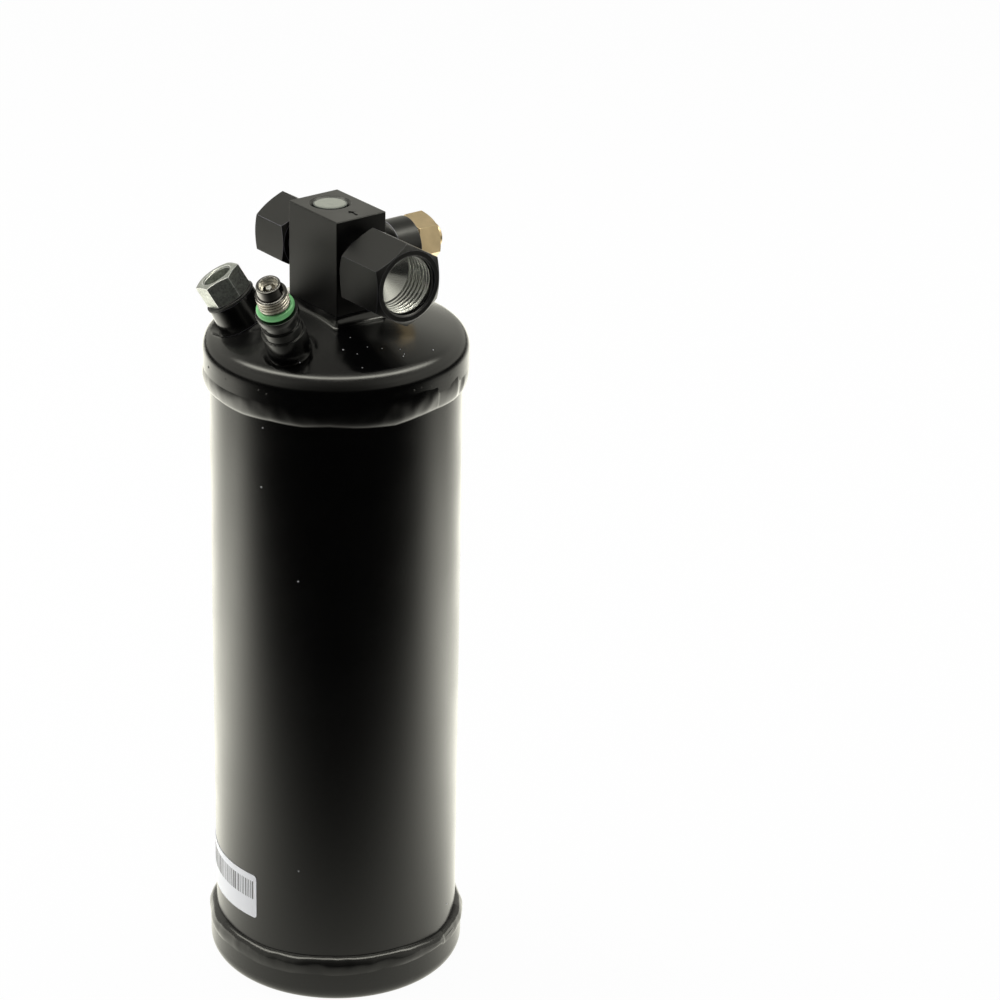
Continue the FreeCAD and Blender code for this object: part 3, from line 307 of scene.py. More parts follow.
def placed(name, mesh, slot, look=None, sharp=SHARP_ANGLE):
    """A piece for a mesh, smooth but for its sharp edges, dressed and riding on the can."""
    mesh.shade_smooth()
    mesh.set_sharp_from_angle(angle=sharp)
    thing = bpy.data.objects.new(name, mesh)
    bpy.context.scene.collection.objects.link(thing)
    dress(thing, look or MATERIALS[slot])
    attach(thing, "drier")
    return thing


def mesh_piece(name, corners, faces, slot, **finish):
    return placed(name, closed_mesh(name, corners, faces), slot, **finish)


def ring_faces(stations, around):
    """Quads of a closed ring with the same count of points at every station."""
    faces = []
    for station in range(stations):
        here = station * around
        there = (station + 1) % stations * around
        for step in range(around):
            after = (step + 1) % around
            faces.append((here + step, here + after, there + after, there + step))
    return faces


def eased(share):
    share = min(max(share, 0), 1)
    return share * share * (3 - 2 * share)


def between(table, degrees, smooth=True):
    """A value by compass angle from a table of (degrees, value) that closes on itself."""
    degrees = (degrees + 180) % 360 - 180
    before = (table[-1][0] - 360, table[-1][1])
    after = (table[0][0] + 360, table[0][1])
    stops = [before, *table, after]
    for (first, low), (last, high) in zip(stops, stops[1:]):
        if first <= degrees < last:
            share = (degrees - first) / (last - first)
            return low + (high - low) * (eased(share) if smooth else share)
    return table[0][1]


# The weld beads: where each meets the cap and the tube, in millimetres above the can's
# bottom, and how far it stands out, by compass angle

CAN_RADIUS = 38.1 * MM
CAP_RADIUS = 40.0 * MM
BEAD_STATIONS = 900
BEAD_STEPS = 18
BEAD_SINK = 0.12 * MM
BEAD_HEART = 37.4 * MM
BEAD_LIP = 0.78
BEAD_LIMIT = 2.57 * MM
LUMP_LENGTH = 7.5 * MM
LUMP_SLANT = 0.7
LUMP_WAVES = [(1.0, 0.8), (2.3, 0.25)]
RIPPLE = 0.010
RIPPLE_LENGTH = 2.4 * MM
RIPPLE_BOW = 0.5
RIPPLE_PATCHES = 0.6
RIPPLE_SHIFT = Vector((7, 3, 0))

TOP_WELD = {
    "fall": 0.9 * MM,
    "cap_line": [
        (-172, 202.3), (-150, 201.6), (-128, 202.2), (-104, 200.7), (-86, 201.2), (-74, 202.2),
        (-62, 202.8), (-40, 203.0), (-20, 203.6), (-9, 204.9), (6, 204.2), (12.5, 203.2),
        (14.5, 201.4), (27, 203.3), (36, 201.6), (58, 202.4), (82, 201.3), (108, 202.5),
        (136, 201.5), (160, 202.4)],
    "tube_line": [
        (-168, 194.3), (-149, 193.8), (-133, 194.4), (-112, 193.9), (-97, 194.3), (-80, 193.9),
        (-65, 194.3), (-50, 193.9), (-38, 194.5), (-26, 193.9), (-8.5, 193.4), (3, 194.2),
        (14.8, 194.6), (29, 194.0), (48, 194.4), (66, 193.8), (83, 194.4), (104, 193.9),
        (121, 194.3), (143, 193.8), (161, 194.5)],
    "crest": [
        (-170, 0.40), (-140, 0.45), (-100, 0.35), (-70, 0.40), (-40, 0.40), (-24, 0.40),
        (-10, 0.65), (2, 0.50), (10, 0.85), (13, 0.90), (15, 0.20), (28, 0.60), (33, 0.05),
        (37, 0.45), (70, 0.40), (110, 0.50), (150, 0.35)],
}
BOTTOM_WELD = {
    "fall": 0.7 * MM,
    "cap_line": [
        (-160, 10.3), (-120, 9.8), (-87, 9.9), (-68, 9.5), (-38, 10.1), (-5, 10.7), (20, 10.9),
        (24, 10.0), (30, 9.4), (60, 10.2), (100, 9.7), (140, 10.4)],
    "tube_line": [
        (-165, 16.3), (-130, 15.8), (-100, 16.5), (-84, 16.0), (-70, 15.7), (-38, 16.4),
        (-4, 16.2), (16, 15.0), (24, 14.5), (34, 14.9), (46, 16.1), (80, 15.7), (120, 16.4),
        (150, 15.9)],
    "crest": [
        (-160, 0.65), (-110, 0.75), (-80, 0.65), (-40, 0.70), (-8, 0.65), (12, 0.85),
        (22, 0.95), (24.5, 0.55), (34, 0.70), (90, 0.65), (140, 0.75)],
}


def bead_unevenness(turn, level, share):
    """The welder's lumps and ripples at a spot of a bead, as a share of its crest."""
    spot = on_circle(CAP_RADIUS, turn, level * LUMP_SLANT) / LUMP_LENGTH
    lump = sum(noise.noise(spot * finer) * strength for finer, strength in LUMP_WAVES)
    patchy = 0.5 + 0.5 * noise.noise(spot * RIPPLE_PATCHES + RIPPLE_SHIFT)
    bow = RIPPLE_BOW * math.cos(math.pi * (share - 0.5))
    wave = math.sin(2 * math.pi * (turn * CAP_RADIUS / RIPPLE_LENGTH + bow))
    return lump + patchy * RIPPLE * wave


def weld_outline(weld, turn):
    """A bead's section at a compass angle: out from the cap, over the crest, in to the tube."""
    degrees = math.degrees(turn)
    cap_line = between(weld["cap_line"], degrees) * MM
    tube_line = between(weld["tube_line"], degrees, smooth=False) * MM
    crest = between(weld["crest"], degrees) * MM
    outline = []
    for step in range(BEAD_STEPS + 1):
        share = (1 - math.cos(math.pi * step / BEAD_STEPS)) / 2
        level = cap_line + (tube_line - cap_line) * share
        slope = CAP_RADIUS - CAN_RADIUS - weld["fall"] * share
        swell = crest * math.sin(math.pi * share) * (1 + bead_unevenness(turn, level, share))
        turned_in = max(0, (share - BEAD_LIP) / (1 - BEAD_LIP))
        standing = min(slope + swell, BEAD_LIMIT) * math.sqrt(1 - turned_in ** 2)
        sunk = BEAD_SINK * (1 - math.sin(math.pi * share))
        outline.append((CAN_RADIUS + standing - sunk, level))
    return outline + [(BEAD_HEART, outline[-1][1]), (BEAD_HEART, outline[0][1])]


def ring_round_can(name, node, section):
    """A piece round the can from its section by compass angle, which stands for a node."""
    corners = []
    for station in range(BEAD_STATIONS):
        turn = 2 * math.pi * station / BEAD_STATIONS
        outline = section(turn)
        corners += [on_circle(radius, turn, level) for radius, level in outline]
    ring = mesh_piece(name, corners, ring_faces(BEAD_STATIONS, len(outline)), "black_paint")
    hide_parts(node)


ring_round_can("upper_weld", "top_weld_bead", lambda turn: weld_outline(TOP_WELD, turn))
ring_round_can("lower_weld", "bottom_weld_bead", lambda turn: weld_outline(BOTTOM_WELD, turn))


# The tube, round and smooth between its welds

TUBE_INSIDE = 36.5 * MM
TUBE_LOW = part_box("body_tube")[0][2]
TUBE_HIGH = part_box("body_tube")[1][2]
TUBE_OUTLINE = [(CAN_RADIUS, TUBE_LOW), (CAN_RADIUS, TUBE_HIGH),
                (TUBE_INSIDE, TUBE_HIGH), (TUBE_INSIDE, TUBE_LOW)]

ring_round_can("rolled_tube", "body_tube", lambda turn: TUBE_OUTLINE)


# The label's bars, uneven and without a meaning: each with its width and gap in millimetres

BARS_START = math.radians(-77.6)
BARS_LEVELS = (31.0 * MM, 37.3 * MM)
BARS_RADII = (38.2 * MM, 38.275 * MM)
BAR_PATTERN = [(0.5, 0.45), (0.25, 0.55), (0.3, 0.5), (0.25, 0.4), (0.4, 0.6), (0.25, 0.45),
               (0.3, 0.7), (0.25, 0.5), (0.45, 0.4), (0.25, 0.6), (0.6, 0.3), (0.65, 0.55)]
BAR_REPEATS = 4
BAR_FACES = ((0, 1, 3, 2), (4, 6, 7, 5), (0, 4, 5, 1), (2, 3, 7, 6), (0, 2, 6, 4), (1, 5, 7, 3))


def label_bars():
    corners, faces = [], []
    turn = BARS_START
    for width, gap in BAR_PATTERN * BAR_REPEATS:
        first = len(corners)
        sides = (turn, turn - width * MM / CAN_RADIUS)
        corners += [on_circle(radius, side, level)
                    for level in BARS_LEVELS for radius in BARS_RADII for side in sides]
        faces += [tuple(first + corner for corner in face) for face in BAR_FACES]
        turn -= (width + gap) * MM / CAN_RADIUS
    mesh_piece("label_bars", corners, faces, "black_rubber", look=BAR_INK)


label_bars()


# The top cap as it is pressed: the two tilted seats run softly into the dome

CROWN_CENTRE = 118 * MM
CROWN_SPHERE = 100 * MM
KNUCKLE = 6.2 * MM
KNUCKLE_ACROSS = CAP_RADIUS - KNUCKLE
KNUCKLE_START = math.asin(KNUCKLE_ACROSS / (CROWN_SPHERE - KNUCKLE))
KNUCKLE_LEVEL = CROWN_CENTRE + (CROWN_SPHERE - KNUCKLE) * math.cos(KNUCKLE_START)
SKIRT_LOW = 200.5 * MM
SHEET = 1.8 * MM
SPIGOT_HOLE = 8.6 * MM
CAP_STATIONS = 320
CROWN_ROWS = 41
KNUCKLE_ROWS = 14
SKIRT_ROWS = 4
SEAT_BLEND = (0.5 * MM, 1.1 * MM)


def leaning(tilt, direction):
    """The axis of a seat that leans from upright towards a compass direction."""
    tilt, direction = math.radians(tilt), math.radians(direction)
    return on_circle(math.sin(tilt), direction, math.cos(tilt))


PORT_AXIS = leaning(28, -62.9)
PORT_SEAT = Vector((13.060, -25.522, 213.502)) * MM
PORT_SEAT_RADIUS = 7.3 * MM
INDICATOR_AXIS = leaning(30.5, -122.3)
INDICATOR_SEAT = Vector((-14.428, -22.822, 213.836)) * MM
INDICATOR_SEAT_RADIUS = 9.6 * MM
SEATS = [(PORT_SEAT, PORT_AXIS, PORT_SEAT_RADIUS),
         (INDICATOR_SEAT, INDICATOR_AXIS, INDICATOR_SEAT_RADIUS)]


def cap_meridian():
    """Radius, level and outward lean down the cap, from the spigot's hole to the skirt's edge."""
    rows = []
    hole = math.asin(SPIGOT_HOLE / CROWN_SPHERE)
    for step in range(CROWN_ROWS):
        lean = hole + (KNUCKLE_START - hole) * step / CROWN_ROWS
        level = CROWN_CENTRE + CROWN_SPHERE * math.cos(lean)
        rows.append((CROWN_SPHERE * math.sin(lean), level, lean))
    for step in range(KNUCKLE_ROWS + 1):
        lean = KNUCKLE_START + (math.pi / 2 - KNUCKLE_START) * step / KNUCKLE_ROWS
        level = KNUCKLE_LEVEL + KNUCKLE * math.cos(lean)
        rows.append((KNUCKLE_ACROSS + KNUCKLE * math.sin(lean), level, lean))
    for step in range(1, SKIRT_ROWS + 1):
        level = KNUCKLE_LEVEL + (SKIRT_LOW - KNUCKLE_LEVEL) * step / SKIRT_ROWS
        rows.append((CAP_RADIUS, level, math.pi / 2))
    return rows


def pressed(spot):
    """How far the seats' presses move a spot of the dome."""
    moved = Vector((0, 0, 0))
    for seat, axis, radius in SEATS:
        height = (spot - seat).dot(axis)
        across = (spot - seat - axis * height).length
        inner, outer = radius - SEAT_BLEND[0], radius + SEAT_BLEND[1]
        moved -= axis * height * eased((outer - across) / (outer - inner))
    return moved


def pressed_cap():
    rows = cap_meridian()
    corners = []
    for station in range(CAP_STATIONS):
        turn = 2 * math.pi * station / CAP_STATIONS
        out = Vector((math.cos(turn), math.sin(turn), 0))
        outside, inside = [], []
        for radius, level, lean in rows:
            spot = out * radius + UP * level
            spot += pressed(spot)
            outside.append(spot)
            inside.append(spot - (out * math.sin(lean) + UP * math.cos(lean)) * SHEET)
        corners += outside + inside[::-1]
    cap = mesh_piece("pressed_cap", corners, ring_faces(CAP_STATIONS, 2 * len(rows)), "black_paint")
    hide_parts("top_cap")


pressed_cap()


# Turned pieces with their threads

TURNED_STATIONS = 240
THREAD_ROWS = 22
THREAD_FLAT = 0.2
THREAD_FLANK = 0.7
CORNER_SHARE = 0.45
CORNER_CUTS = 4


def axis_frame(origin, axis):
    """A frame that stands on a point with its Z along an axis."""
    return Matrix.Translation(origin) @ axis.to_track_quat("Z", "Y").to_matrix().to_4x4()


def from_axis(spot, origin, axis):
    """How far a spot lies from an axis."""
    along = (spot - origin).dot(axis)
    return (spot - origin - axis * along).length


def in_metres(outline):
    return [(radius * MM, level * MM) for radius, level in outline]


def thread_rows(crest, root, pitch, low, high):
    """Rows of a right-hand thread, each with its radius by turn; it fades out at both ends."""
    def radius_at(level):
        ends = eased((level - low) / pitch) * eased((high - level) / pitch)

        def radius(turn):
            wave = 1 - abs(2 * ((level / pitch - turn / (2 * math.pi)) % 1) - 1)
            return crest + (root - crest) * ends * eased((wave - THREAD_FLAT) / THREAD_FLANK)
        return radius
    count = round((high - low) / pitch * THREAD_ROWS)
    levels = [low + (high - low) * step / count for step in range(count + 1)]
    return [(radius_at(level), level) for level in levels]


def softened(outline, cut):
    """An outline with each of its inner corners eased over a short cut."""
    spots = [Vector(spot) for spot in outline]
    soft = [spots[0]]
    for before, corner, after in zip(spots, spots[1:], spots[2:]):
        start = corner + (before - corner) * min(CORNER_SHARE, cut / (before - corner).length)
        end = corner + (after - corner) * min(CORNER_SHARE, cut / (after - corner).length)
        for step in range(CORNER_CUTS + 1):
            share = step / CORNER_CUTS
            bend = corner * (2 * share * (1 - share))
            soft.append(start * (1 - share) ** 2 + bend + end * share ** 2)
    return soft + [spots[-1]]


def turned_piece(name, place, outline, slot, look=None):
    """A turned ring from its closed outline of radii, or radii by turn, and levels."""
    corners = []
    for station in range(TURNED_STATIONS):
        turn = 2 * math.pi * station / TURNED_STATIONS
        for radius, level in outline:
            across = radius(turn) if callable(radius) else radius
            corners.append(place @ on_circle(across, turn, level))
    return mesh_piece(name, corners, ring_faces(TURNED_STATIONS, len(outline)), slot,
                      look=look, sharp=TURNED_SHARP_ANGLE)


def tinted(piece, extra, chosen):
    """More materials on the faces for which the choice gives their number."""
    for material in extra:
        piece.data.materials.append(material)
    for face in piece.data.polygons:
        face.material_index = chosen(face.center)


# Cut pieces, with their sharp edges broken as by paint or a file

SAME_SPOT = 0.0005 * MM
EDGE_WIDTH = 0.14 * MM
EDGE_ANGLE = math.radians(24)
CUTTER_SIDES = 96


def prism_cutter(lower, upper):
    """A cutter between two outlines with the same count of corners."""
    count = len(lower)
    faces = [tuple(range(count)), tuple(range(2 * count - 1, count - 1, -1))]
    for side in range(count):
        after = (side + 1) % count
        faces.append((side, after, count + after, count + side))
    cutter = bpy.data.objects.new("cutter", closed_mesh("cutter", lower + upper, faces))
    bpy.context.scene.collection.objects.link(cutter)
    return cutter


def round_cutter(place, radius, low, high):
    turns = [2 * math.pi * side / CUTTER_SIDES for side in range(CUTTER_SIDES)]
    lower, upper = ([place @ on_circle(radius, turn, level) for turn in turns]
                    for level in (low, high))
    return prism_cutter(lower, upper)


def eased_edges(thing, edge):
    """Broken edges in a material of their own, between faces that stay flat; a lighter one is a
    painted highlight.
    """
    thing.data.materials.append(edge)
    weld = thing.modifiers.new("weld", "WELD")
    weld.merge_threshold = SAME_SPOT
    bevel = thing.modifiers.new("edges", "BEVEL")
    bevel.width = EDGE_WIDTH
    bevel.segments = 2
    bevel.limit_method = "ANGLE"
    bevel.angle_limit = EDGE_ANGLE
    bevel.harden_normals = True
    bevel.material = 1
    even = thing.modifiers.new("even_shading", "WEIGHTED_NORMAL")
    even.keep_sharp = True


def carved(name, node, cutter):
    """A painted copy of a node with a cutter taken out of it, which stands for the node."""
    mesh = nodes[node].data.copy()
    shell = bmesh.new()
    shell.from_mesh(mesh)
    bmesh.ops.remove_doubles(shell, verts=shell.verts, dist=SAME_SPOT)
    shell.to_mesh(mesh)
    shell.free()
    block = bpy.data.objects.new(name + "_block", mesh)
    bpy.context.scene.collection.objects.link(block)
    cut = block.modifiers.new("cut", "BOOLEAN")
    cut.operation = "DIFFERENCE"
    cut.solver = "EXACT"
    cut.object = cutter
    graph = bpy.context.evaluated_depsgraph_get()
    made = bpy.data.meshes.new_from_object(block.evaluated_get(graph))
    for spent in (block, cutter):
        bpy.data.objects.remove(spent)
    piece = placed(name, made, "black_paint", look=SATIN_PAINT)
    # The broken edges take the lighter paint: a painted highlight.
    eased_edges(piece, EDGE_PAINTED_HIGHLIGHT)
    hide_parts(node)


# The line fittings: painted nuts whose bores hold a bare thread, with the cone at its bottom

INLET_MOUTH = Vector((36.4, 0, 235)) * MM
OUTLET_MOUTH = Vector((-28.7, 0, 235)) * MM
LEAD_DEPTH = 1.7 * MM
LINER_WALL = 0.22 * MM
LINER_GAP = 0.03 * MM
THROAT = 3.4 * MM
ROOT_SHARE = 0.6


def threaded_fitting(name, node, mouth, out, crest, root, pitch, depth, cone):
    place = axis_frame(mouth, out)
    wall = root + LINER_WALL
    top, bottom = -LEAD_DEPTH, -depth
    carved(name + "_nut", node, round_cutter(place, wall + LINER_GAP, bottom - 0.2 * MM, top))
    grooves = thread_rows(crest, root, pitch, bottom + 0.15 * MM, top - LINER_GAP)

    # Down the cone's face, back under it, and up the liner's outside
    floor = [(crest, bottom + 0.1 * MM), (THROAT, bottom - cone + 0.2 * MM),
             (THROAT, bottom - cone - 0.3 * MM), (crest, bottom - 0.6 * MM),
             (wall, bottom - 0.1 * MM), (wall, top - LINER_GAP), (crest, top - LINER_GAP)]
    thread = turned_piece(name + "_thread", place, grooves[::-1][1:] + floor, "bare_steel",
                          look=BORE_METAL)
    # Faces deep in the thread's grooves take the darker metal: painted shade in the grooves.
    root_start = crest + ROOT_SHARE * (root - crest)
    tinted(thread, [BORE_ROOT_PAINTED_SHADE], lambda spot: int(from_axis(spot, mouth, out) > root_start))
    lead = [(crest + 0.6 * MM, -0.1 * MM), (crest, top),
            (crest + 0.5 * MM, top), (crest + 0.9 * MM, -0.1 * MM)]
    turned_piece(name + "_lead", place, lead, "black_paint")


threaded_fitting("inlet", "inlet_fitting", INLET_MOUTH, Vector((1, 0, 0)), crest=8.6 * MM,
                 root=9.4 * MM, pitch=1.5875 * MM, depth=12 * MM, cone=3.09 * MM)
threaded_fitting("outlet", "outlet_fitting", OUTLET_MOUTH, Vector((-1, 0, 0)), crest=7.2 * MM,
                 root=7.85 * MM, pitch=1.4111 * MM, depth=10 * MM, cone=2.19 * MM)


# The service port, in millimetres from its seat: painted collars, a bare thread, a worn nose

PORT_LOWER = [(1.8, -2.4), (4.0, -2.4), (4.0, 0), (6.5, 0), (6.5, 9.0), (5.9, 9.0), (5.9, 12.1),
              (5.2, 12.1), (5.2, 15.4), (6.35, 15.4), (6.35, 17.5), (3.63, 17.65),
              (3.63, 19.95), (4.7625, 20.4)]
PORT_UPPER = [(4.7625, 24.5), (3.9, 24.55), (3.65, 28.3), (2.75, 28.3), (2.75, 18.9),
              (1.8, 18.9), (1.8, -2.4)]
PORT_THREAD = (4.7625 * MM, 4.12 * MM, 1.058 * MM, 20.4 * MM, 24.6 * MM)
PORT_CUTS = (0.2 * MM, 0.4 * MM)
PAINT_TOP = 17.65 * MM
PORT_BORE = 2.8 * MM
NOSE_START = 24.5 * MM
GROOVE_START = 4.4 * MM
PORT_LOOKS = [MATERIALS["bare_steel"], THREAD_METAL, NOSE_METAL, PORT_GROOVE_PAINTED_SHADE]
PAINTED, IN_BORE, ON_THREAD, ON_NOSE, IN_GROOVE = range(5)


def port_look(spot):
    level = (spot - PORT_SEAT).dot(PORT_AXIS)
    across = from_axis(spot, PORT_SEAT, PORT_AXIS)
    if across < PORT_BORE:
        return IN_BORE
    if level < PAINT_TOP:
        return PAINTED
    if level > NOSE_START:
        return ON_NOSE
    # Faces in the thread's grooves take the near-black metal: painted shade.
    return IN_GROOVE if across < GROOVE_START else ON_THREAD


def service_port():
    lower = softened(in_metres(PORT_LOWER), PORT_CUTS[0])
    upper = softened(in_metres(PORT_UPPER), PORT_CUTS[1])
    outline = lower + thread_rows(*PORT_THREAD)[1:-1] + upper[:-1]
    port = turned_piece("threaded_port", axis_frame(PORT_SEAT, PORT_AXIS), outline, "black_paint")
    tinted(port, PORT_LOOKS, port_look)
    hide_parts("service_port_body")


service_port()


# The sight glass's lens, dished and spread over its ring, in millimetres from the block's top

SIGHT_MIDDLE = Vector((-2.9, 0, 249.3)) * MM
LENS_OUTLINE = [(0.02, -0.14), (1.2, -0.13), (2.2, -0.085), (3.2, -0.05), (3.9, -0.06),
                (4.3, -0.10), (4.6, -0.16), (4.66, -0.21), (0.02, -0.21)]

# The lens's pale colour is a painted reflection.
turned_piece("sight_lens", axis_frame(SIGHT_MIDDLE, UP), in_metres(LENS_OUTLINE), "clear_glass",
             look=WINDOW_PAINTED_REFLECTION)


# The block's foot weld runs softly from its walls into the dome

BLOCK_MIDDLE = 0.6 * MM
BLOCK_HALF = (12.3 * MM, 8.8 * MM)
BLOCK_EDGE = 0.35 * MM
CORNER_STEPS = 12
WALL_STEPS = 24
SHORTEST_WALL = 5 * MM
FILLET_OUT = 1.8 * MM
FILLET_TOP = 220.2 * MM
FILLET_STEPS = 10
FILLET_SINK = 1.2 * MM
FILLET_GAP = 0.03 * MM
FILLET_TUCK = 0.8


def round_block(out):
    """Points round the block, that far out from its walls."""
    corner = BLOCK_EDGE + out
    points = []
    for quarter, (side_x, side_y) in enumerate([(1, 1), (-1, 1), (-1, -1), (1, -1)]):
        centre = Vector((BLOCK_MIDDLE + side_x * (BLOCK_HALF[0] - BLOCK_EDGE),
                         side_y * (BLOCK_HALF[1] - BLOCK_EDGE), 0))
        for step in range(CORNER_STEPS + 1):
            turn = math.pi / 2 * (quarter + step / CORNER_STEPS)
            points.append(centre + on_circle(corner, turn, 0))
    even = []
    for first, second in zip(points, points[1:] + points[:1]):
        count = WALL_STEPS if (second - first).length > SHORTEST_WALL else 1
        even += [first + (second - first) * step / count for step in range(count)]
    return even


def dome_level(spot):
    return CROWN_CENTRE + math.sqrt(CROWN_SPHERE ** 2 - spot.x ** 2 - spot.y ** 2)


def foot_weld():
    rings = []
    for step in range(FILLET_STEPS + 1):
        lean = math.pi / 2 * step / FILLET_STEPS
        out = FILLET_OUT * (1 - math.sin(lean)) + FILLET_GAP
        ring = []
        for spot, wall in zip(round_block(out), round_block(0)):
            rise = (FILLET_TOP - dome_level(wall)) * (1 - math.cos(lean))
            ring.append(spot + UP * (dome_level(spot) + rise))
        rings.append(ring)
    for out in (FILLET_GAP, FILLET_OUT * FILLET_TUCK):
        rings.append([spot + UP * (dome_level(spot) - FILLET_SINK) for spot in round_block(out)])
    corners = [corner for station in zip(*rings) for corner in station]
    faces = ring_faces(len(rings[0]), len(rings))
    fillet = mesh_piece("foot_fillet", corners, faces, "black_paint")
    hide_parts("block_weld")


foot_weld()


# Broken edges on the machined pieces that keep their own solids

# The plated plug and the painted adapter and boss take lighter edge materials, painted highlights;
# brass and rubber edges keep their own.
MACHINED = [
    ("indicator_plug", PLATED_EDGE_PAINTED_HIGHLIGHT),
    ("relief_valve_body", MATERIALS["brass"]),
    ("relief_valve_plug", MATERIALS["brass"]),
    ("relief_adapter", EDGE_PAINTED_HIGHLIGHT),
    ("indicator_boss", EDGE_PAINTED_HIGHLIGHT),
    ("indicator_gasket", MATERIALS["black_rubber"]),
]

for machined, edge in MACHINED:
    eased_edges(nodes[machined], edge)


# A flow arrow, stamped into the block's top by the inlet, in millimetres from its middle

BLOCK_TOP = 249.3 * MM
ARROW_AT = Vector((8.6, 0, 0)) * MM
ARROW_OUTLINE = [(2.2, 0.45), (-0.4, 0.45), (-0.4, 1.35), (-2.3, 0),
                 (-0.4, -1.35), (-0.4, -0.45), (2.2, -0.45)]
STAMP_DEPTH = 0.3 * MM
STAMP_TOP = BLOCK_TOP + MM

arrow_cutter = prism_cutter(*(
    [ARROW_AT + Vector((x * MM, y * MM, level)) for x, y in ARROW_OUTLINE]
    for level in (BLOCK_TOP - STAMP_DEPTH, STAMP_TOP)))
carved("stamped_block", "head_block", arrow_cutter)


# Dust caught in the paint: pale specks, and dark nibs with paint over them. On the crown by
# their place in millimetres, on the can by compass angle and level in millimetres

CROWN_SPECKS = [(19.8, -26.8), (26.8, -11.4), (25.6, -6.9), (28.0, -3.4), (32.3, -13.5),
                (30.3, 1.5), (32.5, 1.4), (33.2, 0.5), (33.0, 11.5), (19.3, -8.5),
                (23.1, -13.8), (-24.0, 12.0), (-29.5, 4.0), (-8.0, 27.0)]
TUBE_SPECKS = [(-69.4, 191.7), (-70.5, 172.6), (-52.3, 144.4), (-52.8, 45.7), (31.5, 21.4),
               (120.0, 160.0), (165.0, 90.0)]
SKIRT_NIBS = [(-105.5, 203.5), (-89.3, 203.8), (-69.4, 204.3), (-65.5, 203.6), (3.0, 204.4),
              (21.8, 204.3), (8.6, 203.6), (-0.7, 204.1), (100.0, 204.0), (150.0, 203.4),
              (-150.0, 204.2)]
SPECK_RADIUS = 0.2 * MM
NIB_RADIUS = SPECK_RADIUS * 1.6
SMALLEST_GRAIN = 0.7
GRAIN_FLATNESS = 0.55


def grains(name, slot, spots, radius):
    """Small flattened grains, half sunk at spots with their outward directions."""
    shell = bmesh.new()
    for number, (spot, outward) in enumerate(spots):
        variation = abs(noise.noise(Vector((number * 3.7, 1.3, 0.4))))
        place = axis_frame(spot, outward) @ Matrix.Diagonal((1, 1, GRAIN_FLATNESS, 1))
        bmesh.ops.create_icosphere(
            shell, subdivisions=2, radius=radius * (SMALLEST_GRAIN + variation), matrix=place)
    mesh = bpy.data.meshes.new(name)
    shell.to_mesh(mesh)
    shell.free()
    placed(name, mesh, slot)


def on_crown(x, y):
    outward = Vector((x * MM, y * MM, 0))
    outward.z = math.sqrt(CROWN_SPHERE ** 2 - outward.x ** 2 - outward.y ** 2)
    return outward + UP * CROWN_CENTRE, outward.normalized()


def on_can(radius, degrees, level):
    outward = on_circle(1, math.radians(degrees), 0)
    return outward * radius + UP * (level * MM), outward


specks = [on_crown(*spot) for spot in CROWN_SPECKS]
specks += [on_can(CAN_RADIUS, *spot) for spot in TUBE_SPECKS]
grains("paint_specks", "white_paper", specks, SPECK_RADIUS)
grains("paint_nibs", "black_paint", [on_can(CAP_RADIUS, *spot) for spot in SKIRT_NIBS], NIB_RADIUS)


# Studio: the lit floor and the dim room, each brightness by where it lies from the object.
# The floor's pairs are a middle and a width, in metres, over which its reflection fades

FLOOR_SIDE = 8
FLOOR_PAPER = (0.8, 0.8, 0.8)
FLOOR_OWN_WHITE = 0.97
FLOOR_PEAK = 3.9
FLOOR_FRONT = (0.035, 0.050)
FLOOR_LEFT = (0.50, 0.08)
FLOOR_RIGHT = (0.41, 0.10)
FLOOR_BEHIND = (0.13, 0.025)
BEHIND_LOSS = 0.3
LINE_LOSS = 0.5
LINE_REACH = 0.11
ROOM_BEHIND = ((0.0, 0.85), (0.2, 0.75), (0.4, 0.9), (0.55, 0.7), (0.8, 0.35), (1.0, 0.4))
ROOM_SIDE = ((0.0, 1.0), (0.65, 1.1), (0.78, 0.9), (0.93, 0.3), (1.0, 0.15))
RING_AXIS = TOWARD_CAMERA * -0.371 + UP * 0.928
RING_GLOW = ((0.0, 0.0), (0.60, 0.0), (0.655, 1.0), (0.69, 9.0),
             (0.76, 9.0), (0.81, 1.2), (0.90, 0.1), (1.0, 0.0))
RING_SIDE = ((0.0, 0.0), (0.3, 0.0), (0.42, 1.0), (1.0, 1.0))
WHITE = (1.0, 1.0, 1.0)
WARM = (1.0, 0.985, 0.87)
AMBIENT = 0.30


def curve(tree, source, low, high, stops):
    """A brightness by stops along a stretch of a value."""
    ramp = add_node(tree, "ShaderNodeValToRGB")
    link(tree, ranged(tree, source, low, high), ramp.inputs["Fac"])
    peak = max(value for spot, value in stops)
    points = ramp.color_ramp.elements
    while len(points) < len(stops):
        points.new(0.5)
    for point, (spot, value) in zip(points, stops):
        point.position = spot
        point.color = (value / peak, value / peak, value / peak, 1)
    return product(tree, ramp.outputs["Color"], peak)


def falling(tree, value, middle, width):
    """One well below the middle, nought well above it."""
    past = math_node(tree, "DIVIDE", math_node(tree, "SUBTRACT", value, middle), width)
    steep = math_node(tree, "EXPONENT", past)
    return math_node(tree, "DIVIDE", 1.0, math_node(tree, "ADD", steep, 1.0))


def share_of(tree, vector, direction):
    """How far a point or direction reaches along another."""
    made = add_node(tree, "ShaderNodeVectorMath", operation="DOT_PRODUCT")
    link(tree, vector, made.inputs[0])
    made.inputs[1].default_value = direction
    return made.outputs["Value"]


def ray_kinds(tree):
    """One for rays that see the studio itself, and one for those that see it in gloss."""
    path = add_node(tree, "ShaderNodeLightPath").outputs
    seen = math_node(tree, "MAXIMUM", path["Is Camera Ray"], path["Is Transmission Ray"])
    return seen, path["Is Glossy Ray"]


